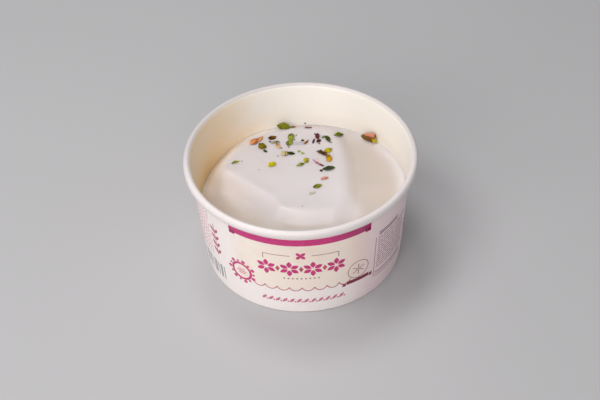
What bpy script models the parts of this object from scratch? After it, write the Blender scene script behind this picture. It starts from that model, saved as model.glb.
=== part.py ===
# Ice cream carton: a low round paper tub, filled with plain ice cream
# under a scatter of chopped nuts, leaves and petals.
# Metres, +Z up. The origin is the middle of the ring that the tub stands on.
# The front of the tub looks toward -Y.

import math
import random

import bmesh
import bpy
from mathutils import Matrix, Vector

MM = 0.001

# Tub
TUB_HEIGHT = 50.5 * MM
RIM_RADIUS = 48.0 * MM        # outside of the rolled rim
FOOT_RADIUS = 41.4 * MM       # outside of the wall where the tub stands
SHOULDER_RADIUS = 45.15 * MM  # outside of the wall right under the rim
PAPER = 0.5 * MM              # coated board, the same in wall and base
GAP = 0.3 * MM                # clear space between separate pieces
CURL_WIDTH = 3.0 * MM
CURL_HEIGHT = 3.9 * MM
CURL_TURN = 292.5              # degrees that the sheet rolls through
HEM_HEIGHT = 4.4 * MM         # wall edge folded in and up, over the base's skirt
FOLD_RADIUS = 0.42 * MM
BASE_RISE = 5.0 * MM          # underside of the recessed base
SKIRT_DEPTH = 4.1 * MM
SKIRT_BEND = 0.8 * MM
SEAM_ANGLE = 88               # degrees from +X round by the back, on the side away from the front
SEAM_WIDTH = 9.0 * MM         # overlap of the glued side seam
SEAM_STEP = 0.3 * MM

# Ice cream: a dome, a scooped mass on it, and a valley between the mass and the wall on the right
DOME_LEVEL = 31.3 * MM
DOME_POWER = 2.0              # higher keeps the dome flat further out
MASS_LEVEL = 32.2 * MM        # flat top of the scooped mass
MASS_RIGHT = 19.5 * MM        # where its right side steps down
MASS_MIDDLE = 7.0 * MM        # how far back its right side reaches furthest
MASS_BULGE = 106.0 * MM       # radius of its right side in plan
MASS_RIGHT_STEP = 9.0 * MM
MASS_FRONT = -18.0 * MM       # where it rolls over toward the front
MASS_FRONT_STEP = 9.0 * MM
CORNER_TURN = 47              # degrees, way that its front left corner is cut
CORNER_REACH = -16.4 * MM
CORNER_STEP = 7.0 * MM
WALL_SHOULDER = 8.0 * MM      # width over which it falls to the level at the wall
EDGE_ROUNDING = 0.2           # how soft the corners between its edges are
LIP_HEIGHT = 0.26 * MM        # low ridge that the spatula left along its edges
LIP_SPREAD = 0.32
VALLEY_DEPTH = 1.4 * MM
VALLEY_SHOULDER = 9.0 * MM    # width over which the valley rises to the wall
# Level where the ice cream meets the wall, every 30 degrees from +X round by the back
WALL_LEVELS = [31.5, 31.3, 30.6, 29.4, 29.4, 26.2, 24.7, 24.6, 25.2, 26.4, 28.4, 30.6]

# Fineness
TURN_STEPS = 64
SURFACE_RINGS = 17
SEED = 24

# Toppings: kind, x and y of the middle, length, width, turn about Z, and lift of the far side,
# in mm and degrees
TOPPINGS = [
    ("leaf", -6.7, 40.1, 6.5, 4.0, -14, 50),
    ("petal", -2.6, 40.7, 2.8, 1.1, 8, 0),
    ("petal", 3.9, 38.7, 3.7, 1.0, -2, 0),
    ("petal", -19.6, 29.5, 5.4, 3.9, 66, 0),
    ("petal", -17.2, 31.0, 4.6, 2.5, 55, 12),
    ("nut", -16.2, 26.1, 4.1, 4.0, -14, 0),
    ("crumb", -14.9, 23.1, 2.3, 1.6, -30, 0),
    ("nut", -11.9, 31.7, 3.9, 2.9, 16, 0),
    ("petal", -10.8, 28.8, 4.2, 1.6, 18, 0),
    ("petal", -9.3, 26.3, 4.5, 1.9, -66, 0),
    ("nut", -3.7, 31.7, 4.7, 3.5, -80, 0),
    ("nut", -4.5, 27.9, 4.1, 3.1, 70, 0),
    ("crumb", 1.2, 29.4, 1.6, 1.2, -5, 0),
    ("petal", 2.6, 28.0, 2.5, 1.7, 52, 0),
    ("petal", 7.7, 31.4, 3.7, 2.6, -76, 15),
    ("petal", 5.9, 28.7, 3.9, 1.3, 77, 0),
    ("crumb", 8.1, 28.5, 2.5, 2.0, 20, 0),
    ("leaf", 12.2, 29.5, 5.1, 2.5, -72, 0),
    ("leaf", 10.7, 31.1, 3.0, 1.4, 20, 0),
    ("leaf", 17.0, 34.0, 5.4, 3.2, 30, 0),
    ("petal", -6.5, 20.7, 4.1, 3.7, 26, 0),
    ("nut", -4.1, 21.0, 4.0, 2.3, -3, 0),
    ("crumb", -0.5, 22.2, 1.7, 1.1, 20, 0),
    ("crumb", 1.0, 20.9, 2.0, 1.1, -32, 0),
    ("petal", 8.7, 21.0, 3.1, 2.8, -30, 0),
    ("nut", 10.3, 19.8, 3.3, 2.9, -38, 0),
    ("nut", 12.0, 21.9, 3.6, 3.1, 22, 0),
    ("nut", 12.1, 16.8, 4.8, 3.3, -82, 0),
    ("nut", 2.4, 16.1, 3.3, 2.7, -60, 0),
    ("leaf", -0.1, 13.6, 4.1, 2.1, 22, 0),
    ("stalk", 7.3, 13.9, 6.3, 0.8, -42, 0),
    ("leaf", 11.7, 10.2, 6.0, 3.2, 4, 0),
    ("crumb", 8.5, 9.2, 1.5, 1.3, -5, 0),
    ("nut", -12.2, 14.2, 3.8, 3.3, 24, 0),
    ("leaf", -27.7, 16.7, 3.9, 1.6, 22, 0),
    ("petal", 9.7, 4.2, 3.9, 1.8, 19, 0),
    ("leaf", 6.6, -0.7, 4.7, 2.6, 24, 0),
    ("petal", 4.1, -4.9, 3.4, 1.4, 27, 0),
]
# Corners of the outline, least reach of a corner, share that every other corner keeps of it, share
# of the outline that the top has, height as a share of the width, and how far the sides fold up
SHAPES = {
    "leaf": {"corners": 8, "least": 0.8, "notch": 0.84, "top": 0.6, "height": 0.3, "fold": 0.18},
    "petal": {"corners": 7, "least": 0.7, "notch": 0.88, "top": 0.65, "height": 0.34, "fold": 0.1},
    "nut": {"corners": 7, "least": 0.78, "notch": 0.9, "top": 0.6, "height": 0.5, "fold": 0.0},
    "crumb": {"corners": 6, "least": 0.75, "notch": 0.9, "top": 0.55, "height": 0.6, "fold": 0.0},
    "stalk": {"sides": 5, "stations": 3, "height": 1.0, "bend": 0.04, "blunt": 0.25, "span": 1.0},
}
SUNK_SHARE = 0.3              # share of its height that a topping lies below the surface
LEAST_HEIGHT = 0.8 * MM

# One long nut piece, cut off at its right end, leans against the wall on the right
LEANING_NUT = {"low": (26.4, 31.2, 31.9), "high": (32.4, 27.2, 33.6), "width": 2.0, "height": 4.7}
LEANING_SHAPE = {"sides": 8, "stations": 4, "bend": 0.0, "blunt": 0.6, "span": 0.62}


def clear_scene():
    for obj in list(bpy.data.objects):
        bpy.data.objects.remove(obj, do_unlink=True)


def make_material(name, colour, roughness):
    material = bpy.data.materials.new(name)
    material.use_nodes = True
    shader = material.node_tree.nodes["Principled BSDF"]
    shader.inputs["Base Color"].default_value = (*colour, 1.0)
    shader.inputs["Roughness"].default_value = roughness
    shader.inputs["Metallic"].default_value = 0.0
    return material


def finish_object(name, mesh_data, material, sharp_angle):
    bmesh.ops.recalc_face_normals(mesh_data, faces=mesh_data.faces)
    mesh = bpy.data.meshes.new(name)
    mesh_data.to_mesh(mesh)
    mesh_data.free()
    mesh.materials.append(material)
    mesh.shade_smooth()
    mesh.set_sharp_from_angle(angle=math.radians(sharp_angle))
    obj = bpy.data.objects.new(name, mesh)
    bpy.context.scene.collection.objects.link(obj)
    return obj


def wall_outside(height):
    taper = (SHOULDER_RADIUS - FOOT_RADIUS) / (TUB_HEIGHT - CURL_HEIGHT)
    return FOOT_RADIUS + taper * height


def wall_inside(height):
    return wall_outside(height) - PAPER


def arc(centre, size, start, turn, steps):
    """Points (radius, height) on an ellipse, from start through turn degrees."""
    points = []
    for step in range(steps + 1):
        angle = math.radians(start + turn * step / steps)
        points.append((centre[0] + size[0] * math.cos(angle), centre[1] + size[1] * math.sin(angle)))
    return points


def sheet_outline(path, closed_on_axis=False):
    """Closed outline of a paper sheet whose middle follows the path of (radius, height)."""
    left = []
    right = []
    last = len(path) - 1
    for index, point in enumerate(path):
        here = Vector(point)
        way_in = (here - Vector(path[max(index - 1, 0)])).normalized()
        way_out = (Vector(path[min(index + 1, last)]) - here).normalized()
        way = (way_in + way_out).normalized()
        side = Vector((-way.y, way.x)) * PAPER / 2 / max(way.dot(way_in), way.dot(way_out))
        if closed_on_axis and index == 0:
            side = Vector((0.0, PAPER / 2))
        left.append(tuple(here + side))
        right.append(tuple(here - side))
    return left + right[::-1]


def wall_path():
    """Middle of the wall's sheet: up out of the hem, round the fold, up the wall, round the rim."""
    half = PAPER / 2
    layers = 2 * (PAPER + GAP)
    hem_low = wall_outside(0.0) - half - layers
    hem_high = wall_outside(HEM_HEIGHT) - half - layers
    path = [(hem_high, HEM_HEIGHT), (hem_low, half + FOLD_RADIUS)]
    path += arc((hem_low + FOLD_RADIUS, half + FOLD_RADIUS), (FOLD_RADIUS, FOLD_RADIUS), 180, 90, 2)[1:]
    outer = wall_outside(0.0) - half
    path += arc((outer - FOLD_RADIUS, half + FOLD_RADIUS), (FOLD_RADIUS, FOLD_RADIUS), 270, 90, 2)
    neck = TUB_HEIGHT - CURL_HEIGHT
    path.append((wall_outside(neck) - half, neck))
    centre = (RIM_RADIUS - CURL_WIDTH / 2, TUB_HEIGHT - CURL_HEIGHT / 2)
    size = ((CURL_WIDTH - PAPER) / 2, (CURL_HEIGHT - PAPER) / 2)
    path += arc(centre, size, 180, -CURL_TURN, 13)
    return path


def base_path():
    """Middle of the base's sheet: flat from the axis, round the bend, down the skirt."""
    half = PAPER / 2
    level = BASE_RISE + half
    edge = wall_inside(BASE_RISE) - GAP - half
    foot = BASE_RISE - SKIRT_DEPTH
    path = [(0.0, level)]
    path += arc((edge - SKIRT_BEND, level - SKIRT_BEND), (SKIRT_BEND, SKIRT_BEND), 90, -90, 4)
    path.append((wall_inside(foot) - GAP - half, foot))
    return path


def seam_lift(angle):
    """How far the wall's outside stands proud where the blank overlaps itself."""
    start = math.radians(SEAM_ANGLE)
    width = SEAM_WIDTH / FOOT_RADIUS
    if angle < start or angle > start + 2 * width:
        return 0.0
    return SEAM_STEP * min(1.0, 2.0 - (angle - start) / width)


def turn_angles(with_seam):
    angles = [2 * math.pi * step / TURN_STEPS for step in range(TURN_STEPS)]
    if with_seam:
        angles.append(math.radians(SEAM_ANGLE) - 0.004)
        angles.append(math.radians(SEAM_ANGLE))
    return sorted(angles)


def turned_solid(name, outline, material, seam_band=None):
    """Closed outline of (radius, height) turned about Z. seam_band: heights that show the seam."""
    mesh_data = bmesh.new()
    angles = turn_angles(seam_band is not None)
    poles = {}
    columns = []
    for angle in angles:
        column = []
        for index, (radius, height) in enumerate(outline):
            if radius < 1e-7:
                if index not in poles:
                    poles[index] = mesh_data.verts.new((0.0, 0.0, height))
                column.append(poles[index])
                continue
            on_outside = radius > wall_outside(height) - GAP / 2
            if seam_band and on_outside and seam_band[0] <= height <= seam_band[1]:
                radius += seam_lift(angle)
            place = (radius * math.cos(angle), radius * math.sin(angle), height)
            column.append(mesh_data.verts.new(place))
        columns.append(column)
    for number, column in enumerate(columns):
        neighbour = columns[(number + 1) % len(columns)]
        for index in range(len(outline)):
            following = (index + 1) % len(outline)
            corners = [column[index], neighbour[index], neighbour[following], column[following]]
            corners = list(dict.fromkeys(corners))
            if len(corners) > 2:
                mesh_data.faces.new(corners)
    return finish_object(name, mesh_data, material, 40)


def ease(share):
    share = min(max(share, 0.0), 1.0)
    return share * share * (3 - 2 * share)


def level_at_wall(angle):
    """Smooth curve through WALL_LEVELS, going round."""
    count = len(WALL_LEVELS)
    place = (math.degrees(angle) % 360) / 360 * count
    first = int(place)
    part = place - first
    a, b, c, d = [WALL_LEVELS[(first + offset) % count] for offset in (-1, 0, 1, 2)]
    bend = (2 * a - 5 * b + 4 * c - d) * part ** 2 + (3 * b - a - 3 * c + d) * part ** 3
    return (b + 0.5 * ((c - a) * part + bend)) * MM


def soft_least(values):
    """Least of the values, with the corner between them rounded."""
    total = sum(math.exp(-value / EDGE_ROUNDING) for value in values)
    return -EDGE_ROUNDING * math.log(total)


def from_wall(x, y):
    return wall_inside(DOME_LEVEL) - math.hypot(x, y)


def mass_edges(x, y):
    """For each edge of the scooped mass, the share of its step that a place lies inside."""
    turn = math.radians(CORNER_TURN)
    bulge = (y - MASS_MIDDLE) ** 2 / 2 / MASS_BULGE
    right = (MASS_RIGHT - bulge - x) / MASS_RIGHT_STEP + 0.5
    front = (y - MASS_FRONT) / MASS_FRONT_STEP + 0.5
    corner = (x * math.cos(turn) + y * math.sin(turn) - CORNER_REACH) / CORNER_STEP + 0.5
    return right, front, corner, from_wall(x, y) / WALL_SHOULDER


def level_at(x, y):
    """Height of the ice cream's surface."""
    share = min(math.hypot(x, y) / wall_inside(DOME_LEVEL), 1.0) ** DOME_POWER
    dome = DOME_LEVEL + (level_at_wall(math.atan2(y, x)) - DOME_LEVEL) * share
    right, front, corner, wall = mass_edges(x, y)
    in_mass = ease(soft_least((right, front, corner, wall)))
    edge = soft_least((front, corner, wall + 0.6, right + 0.4))
    lip = LIP_HEIGHT * math.exp(-((edge - 1) / LIP_SPREAD) ** 2)
    valley = VALLEY_DEPTH * (1 - ease(right)) * ease(from_wall(x, y) / VALLEY_SHOULDER)
    return dome + (MASS_LEVEL - dome) * in_mass + lip - valley


def make_ice_cream(material):
    mesh_data = bmesh.new()
    floor = BASE_RISE + PAPER + GAP
    angles = turn_angles(False)
    rings = []
    for ring in range(1, SURFACE_RINGS + 1):
        share = 1 - (1 - ring / SURFACE_RINGS) ** 1.15
        points = []
        for angle in angles:
            radius = share * (wall_inside(level_at_wall(angle)) - GAP)
            x = radius * math.cos(angle)
            y = radius * math.sin(angle)
            points.append(mesh_data.verts.new((x, y, level_at(x, y))))
        rings.append(points)
    foot = wall_inside(floor) - GAP
    rings.append([mesh_data.verts.new((foot * math.cos(a), foot * math.sin(a), floor)) for a in angles])
    top = mesh_data.verts.new((0.0, 0.0, level_at(0.0, 0.0)))
    bottom = mesh_data.verts.new((0.0, 0.0, floor))
    count = len(angles)
    for number in range(count):
        following = (number + 1) % count
        mesh_data.faces.new((top, rings[0][number], rings[0][following]))
        mesh_data.faces.new((bottom, rings[-1][number], rings[-1][following]))
        for inner, outer in zip(rings, rings[1:]):
            mesh_data.faces.new((inner[number], outer[number], outer[following], inner[following]))
    bmesh.ops.triangulate(mesh_data, faces=mesh_data.faces)
    return finish_object("ice_cream", mesh_data, material, 50)


def spindle(length, width, height, shape):
    """Closed body along X that narrows to a point at the left, and to the right or is cut off there."""
    mesh_data = bmesh.new()
    stations = shape["stations"]
    sides = shape["sides"]
    cut_off = shape["span"] < 1.0
    sections = []
    for station in range(1, stations + 1):
        share = station / (stations if cut_off else stations + 1)
        fullness = math.sin(math.pi * share * shape["span"]) ** shape["blunt"]
        lift = shape["bend"] * length * (2 * share - 1) ** 2
        section = []
        for side in range(sides):
            angle = 2 * math.pi * side / sides + 0.3
            y = width / 2 * fullness * math.cos(angle)
            z = height / 2 * fullness * math.sin(angle) + lift
            section.append(mesh_data.verts.new(((share - 0.5) * length, y, z)))
        sections.append(section)
    lift = shape["bend"] * length
    tips = [mesh_data.verts.new((sign * length / 2, 0.0, lift)) for sign in (-1, 1)]
    for side in range(sides):
        following = (side + 1) % sides
        mesh_data.faces.new((tips[0], sections[0][side], sections[0][following]))
        mesh_data.faces.new((tips[1], sections[-1][side], sections[-1][following]))
        for near, far in zip(sections, sections[1:]):
            mesh_data.faces.new((near[side], near[following], far[following], far[side]))
    bmesh.ops.triangulate(mesh_data, faces=mesh_data.faces)
    return mesh_data


def broken_outline(shape, draw):
    """Corners (x, y) of an uneven outline within half a unit; the two ends reach furthest."""
    count = shape["corners"]
    corners = []
    for corner in range(count):
        angle = 2 * math.pi * corner / count
        reach = draw.uniform(shape["least"], 1.0) * (shape["notch"] if corner % 2 else 1.0)
        if corner in (0, count // 2):
            reach = 1.0
        corners.append((0.5 * reach * math.cos(angle), 0.5 * reach * math.sin(angle)))
    return corners


def shard(length, width, height, shape, draw):
    """Flat broken piece with an uneven rim, a smaller top and a low middle underneath."""
    mesh_data = bmesh.new()
    rim = []
    top = []
    for x, y in broken_outline(shape, draw):
        fold = shape["fold"] * width * 2 * abs(y)
        rim.append(mesh_data.verts.new((x * length, y * width, fold)))
        inner = shape["top"]
        high = height / 2 + fold * inner
        top.append(mesh_data.verts.new((x * inner * length, y * inner * width, high)))
    crown = mesh_data.verts.new((0.0, 0.0, height / 2))
    keel = mesh_data.verts.new((0.0, 0.0, -height / 2))
    for corner in range(len(rim)):
        following = (corner + 1) % len(rim)
        mesh_data.faces.new((rim[corner], rim[following], top[following], top[corner]))
        mesh_data.faces.new((top[corner], top[following], crown))
        mesh_data.faces.new((rim[following], rim[corner], keel))
    bmesh.ops.triangulate(mesh_data, faces=mesh_data.faces)
    return mesh_data


def lay_topping(row, material, draw):
    """Makes one topping and lays it on the surface, a little sunk."""
    kind, x, y, length, width, turn, lift = row
    shape = SHAPES[kind]
    length *= MM
    width *= MM
    height = max(width * shape["height"], LEAST_HEIGHT)
    if kind == "stalk":
        mesh_data = spindle(length, width, height, shape)
    else:
        mesh_data = shard(length, width, height, shape, draw)
    rise = height * (0.5 - SUNK_SHARE) + 0.3 * width * math.sin(math.radians(lift))
    place = Matrix.Translation((x * MM, y * MM, level_at(x * MM, y * MM) + rise))
    way = Matrix.Rotation(math.radians(turn), 4, "Z") @ Matrix.Rotation(math.radians(lift), 4, "X")
    mesh_data.transform(place @ way)
    return finish_object(f"topping_{kind}", mesh_data, material, 30)


def lean_nut(material):
    """The long nut piece whose cut end rests against the wall."""
    low = Vector(LEANING_NUT["low"]) * MM
    high = Vector(LEANING_NUT["high"]) * MM
    way = (high - low).normalized()
    across = Vector((0.0, 0.0, 1.0)).cross(way).normalized()
    frame = Matrix((way, across, way.cross(across))).transposed().to_4x4()
    size = (high - low).length
    mesh_data = spindle(size, LEANING_NUT["width"] * MM, LEANING_NUT["height"] * MM, LEANING_SHAPE)
    mesh_data.transform(Matrix.Translation((low + high) / 2) @ frame)
    return finish_object("topping_leaning", mesh_data, material, 30)


def fuse_toppings(ice_cream, toppings):
    """Joins every topping to the ice cream by one union, and removes the loose copies."""
    group = bpy.data.collections.new("toppings")
    bpy.context.scene.collection.children.link(group)
    for topping in toppings:
        bpy.context.scene.collection.objects.unlink(topping)
        group.objects.link(topping)
    union = ice_cream.modifiers.new("toppings", "BOOLEAN")
    union.operation = "UNION"
    union.operand_type = "COLLECTION"
    union.collection = group
    union.solver = "EXACT"
    bpy.context.view_layer.update()
    fused = bpy.data.meshes.new_from_object(ice_cream.evaluated_get(bpy.context.evaluated_depsgraph_get()))
    ice_cream.modifiers.remove(union)
    ice_cream.data = fused
    for topping in toppings:
        bpy.data.objects.remove(topping, do_unlink=True)
    bpy.data.collections.remove(group)


def main():
    clear_scene()
    paper = make_material("coated_board", (0.86, 0.78, 0.74), 0.45)
    base_paper = make_material("base_board", (0.84, 0.77, 0.71), 0.5)
    cream = make_material("plain_ice_cream", (0.80, 0.74, 0.72), 0.4)
    nuts = make_material("chopped_toppings", (0.24, 0.32, 0.06), 0.55)
    neck = TUB_HEIGHT - CURL_HEIGHT
    seam_band = (PAPER, neck - GAP)
    turned_solid("cup_wall", sheet_outline(wall_path()), paper, seam_band)
    turned_solid("cup_base", sheet_outline(base_path(), closed_on_axis=True), base_paper)
    ice_cream = make_ice_cream(cream)
    toppings = []
    for number, row in enumerate(TOPPINGS):
        toppings.append(lay_topping(row, nuts, random.Random(SEED + number)))
    toppings.append(lean_nut(nuts))
    fuse_toppings(ice_cream, toppings)


main()
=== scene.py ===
import math
import random

import bmesh
import bpy
import numpy as np
from mathutils import Euler, Matrix, Vector, noise


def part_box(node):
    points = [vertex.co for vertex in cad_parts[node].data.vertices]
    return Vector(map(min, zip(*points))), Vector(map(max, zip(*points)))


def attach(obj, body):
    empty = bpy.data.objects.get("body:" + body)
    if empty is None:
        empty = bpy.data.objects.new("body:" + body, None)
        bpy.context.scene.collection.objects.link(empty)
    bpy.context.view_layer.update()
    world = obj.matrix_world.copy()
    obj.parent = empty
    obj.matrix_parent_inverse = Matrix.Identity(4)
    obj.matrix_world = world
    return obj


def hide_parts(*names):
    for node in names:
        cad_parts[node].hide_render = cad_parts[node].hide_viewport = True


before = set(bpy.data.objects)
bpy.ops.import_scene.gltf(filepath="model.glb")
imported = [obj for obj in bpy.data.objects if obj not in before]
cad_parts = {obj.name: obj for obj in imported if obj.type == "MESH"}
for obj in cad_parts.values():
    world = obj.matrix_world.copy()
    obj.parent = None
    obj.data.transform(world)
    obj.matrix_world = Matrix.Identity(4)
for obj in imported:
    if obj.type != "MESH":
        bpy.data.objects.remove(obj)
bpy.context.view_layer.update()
mm = 0.001
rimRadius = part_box("cup_wall")[1].x
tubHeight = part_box("cup_wall")[1].z


# Node helpers

class Value:
    # a socket of a node tree, to reckon with as with a number
    def __init__(self, tree, socket):
        self.tree = tree
        self.socket = socket

    def calc(self, operation, *others):
        inputs = dict(enumerate((self, *others)))
        return outOf(self.tree, "ShaderNodeMath", inputs, operation=operation)

    def __add__(self, other):
        return self.calc("ADD", other)

    def __sub__(self, other):
        return self.calc("SUBTRACT", other)

    def __mul__(self, other):
        return self.calc("MULTIPLY", other)

    def __truediv__(self, other):
        return self.calc("DIVIDE", other)

    def remap(self, fromLow, fromHigh, toLow=0.0, toHigh=1.0, smooth=True):
        inputs = dict(enumerate((self, fromLow, fromHigh, toLow, toHigh)))
        kind = "SMOOTHSTEP" if smooth else "LINEAR"
        return outOf(self.tree, "ShaderNodeMapRange", inputs, interpolation_type=kind)

    def fade(self, start, end, toLow=0.0, toHigh=1.0, smooth=True):
        # from one value to another between two places in mm
        return self.remap(start * mm, end * mm, toLow, toHigh, smooth)

    def spread(self, low, high):
        # the range that a noise keeps to, spread from low to high
        return self.remap(0.3, 0.7, low, high, False)

    def blend(self, a, b):
        # colour a where this value is 0, and b where it is 1
        return outOf(self.tree, "ShaderNodeMix", {0: self, 6: a, 7: b}, 2, data_type="RGBA")

    def tint(self, other):
        # this colour multiplied by a colour or a value
        inputs = {0: 1.0, 6: self, 7: other}
        return outOf(self.tree, "ShaderNodeMix", inputs, 2, data_type="RGBA", blend_type="MULTIPLY")


def addNode(tree, kind, inputs=None, **settings):
    made = tree.nodes.new(kind)
    for name, value in settings.items():
        setattr(made, name, value)
    for place, value in (inputs or {}).items():
        plug(made.inputs[place], value)
    return made


def plug(socket, value):
    if isinstance(value, Value):
        value.tree.links.new(value.socket, socket)
    else:
        socket.default_value = value


def outOf(tree, kind, inputs=None, output=0, **settings):
    return Value(tree, addNode(tree, kind, inputs, **settings).outputs[output])


def distance(x, y):
    return (x * x + y * y).calc("SQRT")


def noiseAt(place, scale, detail, roughness, distortion=0.0):
    inputs = {"Vector": place, "Scale": scale, "Detail": detail, "Roughness": roughness}
    inputs["Distortion"] = distortion
    return outOf(place.tree, "ShaderNodeTexNoise", inputs, "Fac")


def objectPlace(tree):
    return outOf(tree, "ShaderNodeTexCoord", output="Object")


def partsOf(vector):
    made = addNode(vector.tree, "ShaderNodeSeparateXYZ", {0: vector})
    return [Value(vector.tree, socket) for socket in made.outputs]


def combine(tree, x, y, z):
    return outOf(tree, "ShaderNodeCombineXYZ", {0: x, 1: y, 2: z})


def ownValue(tree, name, output="Fac"):
    # a value kept on the piece's own mesh
    return outOf(tree, "ShaderNodeAttribute", output=output, attribute_name=name)


def fromSrgb(red, green, blue):
    parts = []
    for value in (red, green, blue):
        share = value / 255
        parts.append(share / 12.92 if share <= 0.04045 else ((share + 0.055) / 1.055) ** 2.4)
    return (*parts, 1.0)


def newTree(name, kind, inputs, outputs):
    # names of the inputs and outputs, by the kind of their sockets
    tree = bpy.data.node_groups.new(name, kind)
    for way, sockets in (("INPUT", inputs), ("OUTPUT", outputs)):
        for socketKind, labels in sockets.items():
            for label in labels.split():
                tree.interface.new_socket(label, in_out=way, socket_type="NodeSocket" + socketKind)
    given = tree.nodes.new("NodeGroupInput").outputs
    return tree, {socket.name: Value(tree, socket) for socket in given}, tree.nodes.new("NodeGroupOutput")


def newGroup(name, inputs, outputs):
    return newTree(name, "ShaderNodeTree", {"Float": inputs}, {"Float": outputs})


def newShaping(name, inputs):
    return newTree(name, "GeometryNodeTree", inputs, {"Geometry": "geometry"})


def endTree(tree, result, geometry, finish):
    # the export needs plain geometry, so no tree ends in instances
    joined = outOf(tree, "GeometryNodeRealizeInstances", {"Geometry": geometry})
    dressed = {"Geometry": joined, "Material": finish}
    plug(result.inputs[0], outOf(tree, "GeometryNodeSetMaterial", dressed))
    return tree


# Mesh helpers

def addObject(name, data):
    obj = bpy.data.objects.new(name, data)
    bpy.context.scene.collection.objects.link(obj)
    return obj


def meshObject(name, vertices, edges=(), faces=()):
    mesh = bpy.data.meshes.new(name)
    mesh.from_pydata(vertices, edges, faces)
    return addObject(name, mesh)


def ringedFaces(rings, around, turned=0):
    # faces over a first point, rings of points one after another, and a last point
    last = 1 + (rings - 1) * around
    faces = []
    for step in range(around):
        following = (step + 1) % around
        faces.append((0, 1 + step, 1 + following))
        for near in range(1, last, around):
            far = near + around
            face = (near + step, far + step, far + following, near + following)
            if near >= last - turned * around:
                face = (*face[1:], face[0])  # splits along its other diagonal
            faces.append(face)
        faces.append((last + step, last + around, last + following))
    return faces


def keepOnPoints(obj, name, values, kind="FLOAT", field="value"):
    # values that a material or a tree reads from the mesh
    kept = obj.data.attributes.new(name, kind, "POINT")
    kept.data.foreach_set(field, np.asarray(values, np.float32).ravel())


def runTree(obj, tree, values):
    # inputs go in by their identifiers, then the result becomes a plain mesh
    modifier = obj.modifiers.new(tree.name, "NODES")
    modifier.node_group = tree
    for item in tree.interface.items_tree:
        if item.item_type == "SOCKET" and item.in_out == "INPUT" and item.name in values:
            modifier[item.identifier] = values[item.name]
    bpy.context.view_layer.update()
    seen = obj.evaluated_get(bpy.context.evaluated_depsgraph_get())
    mesh = bpy.data.meshes.new_from_object(seen)
    obj.modifiers.remove(modifier)
    obj.data = mesh
    mesh.name = obj.name


def finishPiece(obj, sharpAngle, replaced=()):
    # faces point out, and edges sharper than the angle stay crisp
    data = bmesh.new()
    data.from_mesh(obj.data)
    if data.calc_volume(signed=True) < 0:
        bmesh.ops.reverse_faces(data, faces=data.faces)
    data.to_mesh(obj.data)
    data.free()
    obj.data.shade_smooth()
    obj.data.set_sharp_from_angle(angle=math.radians(sharpAngle))
    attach(obj, "root")
    if replaced:
        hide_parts(*replaced)
    print("made", obj.name, "with", len(obj.data.polygons), "faces")


# Shader groups that several materials share

def endGroup(tree, result, *values):
    for socket, value in zip(result.inputs, values):
        plug(socket, value)
    return tree


def buildBoardGrain():
    # paper fibres and slow unevenness of coated board
    tree, take, result = newGroup("boardGrain", "fibreScale mottleScale", "fibre mottle height")
    place = objectPlace(tree)
    fibre = noiseAt(place, take["fibreScale"], detail=3.0, roughness=0.6, distortion=0.8)
    mottle = noiseAt(place, take["mottleScale"], detail=3.0, roughness=0.55)
    return endGroup(tree, result, fibre, mottle, fibre * 0.35 + mottle)


def buildDriedSkin():
    # broken colour, pale flecks and wrinkles of dried nuts, leaves and petals
    tree, take, result = newGroup("driedSkin", "patchScale wrinkleScale", "patch fleck height")
    place = objectPlace(tree)
    patch = noiseAt(place, take["patchScale"], detail=3.0, roughness=0.6, distortion=0.5)
    fine = noiseAt(place, take["wrinkleScale"], detail=2.0, roughness=0.6)
    cells = {"Vector": place, "Scale": take["wrinkleScale"]}
    fleck = outOf(tree, "ShaderNodeTexVoronoi", cells, "Distance").remap(0.28, 0.12)
    return endGroup(tree, result, patch.remap(0.42, 0.6), fleck, patch * 0.6 + fine)


def useGroup(tree, group, *scales):
    # outputs of a group by name, once its scales are given
    made = addNode(tree, "ShaderNodeGroup", dict(enumerate(scales)), node_tree=group)
    return {socket.name: Value(tree, socket) for socket in made.outputs}


def newMaterial(name):
    material = bpy.data.materials.new(name)
    material.use_nodes = True
    return material, material.node_tree


def setShader(material, values):
    shader = material.node_tree.nodes["Principled BSDF"]
    for name, value in values.items():
        plug(shader.inputs[name], value)
    return material


def finishMaterial(material, look, colour, roughness, height):
    strength, depth = look["bump"]
    inputs = {"Strength": strength, "Distance": depth, "Height": height}
    relief = outOf(height.tree, "ShaderNodeBump", inputs)
    return setShader(material, {
        "Base Color": colour,
        "Roughness": roughness,
        "Normal": relief,
        **look["shader"],
    })


boardGrain = buildBoardGrain()
driedSkin = buildDriedSkin()


# The tub's wall: one sheet of board, rolled at the rim and folded in at the foot

tub = {
    "footRadius": 41.4 * mm,  # outside of the wall where it stands
    "shoulderRadius": 45.15 * mm,  # outside of the wall under the rim
    "board": 0.5 * mm,
    "gap": 0.3 * mm,
    "risePlaces": (0.08, 0.3, 0.55, 0.8, 0.95, 1.0),  # shares of the neck's height
    "curlWidth": 3.0 * mm,
    "curlHeight": 3.9 * mm,
    "curlStart": 172,  # degrees about the middle of the roll
    "curlEnd": -112.5,
    "curlSteps": 36,
    "hemHeight": 4.4 * mm,
    "foldRadius": 0.42 * mm,
    "foldSteps": 5,
    "baseRise": 5.0 * mm,  # underside of the base
    "turnSteps": 384,
    "seamAngle": 88,  # degrees from +X, at the back
    "seamWidth": 9.0 * mm,
    "seamStep": 0.3 * mm,
    "innerSeamStep": 0.12 * mm,
    "hemRipples": 96.0,
    "hemRippleDepth": 0.05 * mm,
    "waver": 0.06 * mm,  # half of how far the rim strays inward from round
}
neckHeight = tubHeight - tub["curlHeight"]
wallTaper = (tub["shoulderRadius"] - tub["footRadius"]) / neckHeight


def wallOutside(height):
    return tub["footRadius"] + wallTaper * height


def wallInside(height):
    return wallOutside(height) - tub["board"]


def outFrom(x, y, reach, degrees):
    angle = math.radians(degrees)
    return x + reach * math.cos(angle), y + reach * math.sin(angle)


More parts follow.
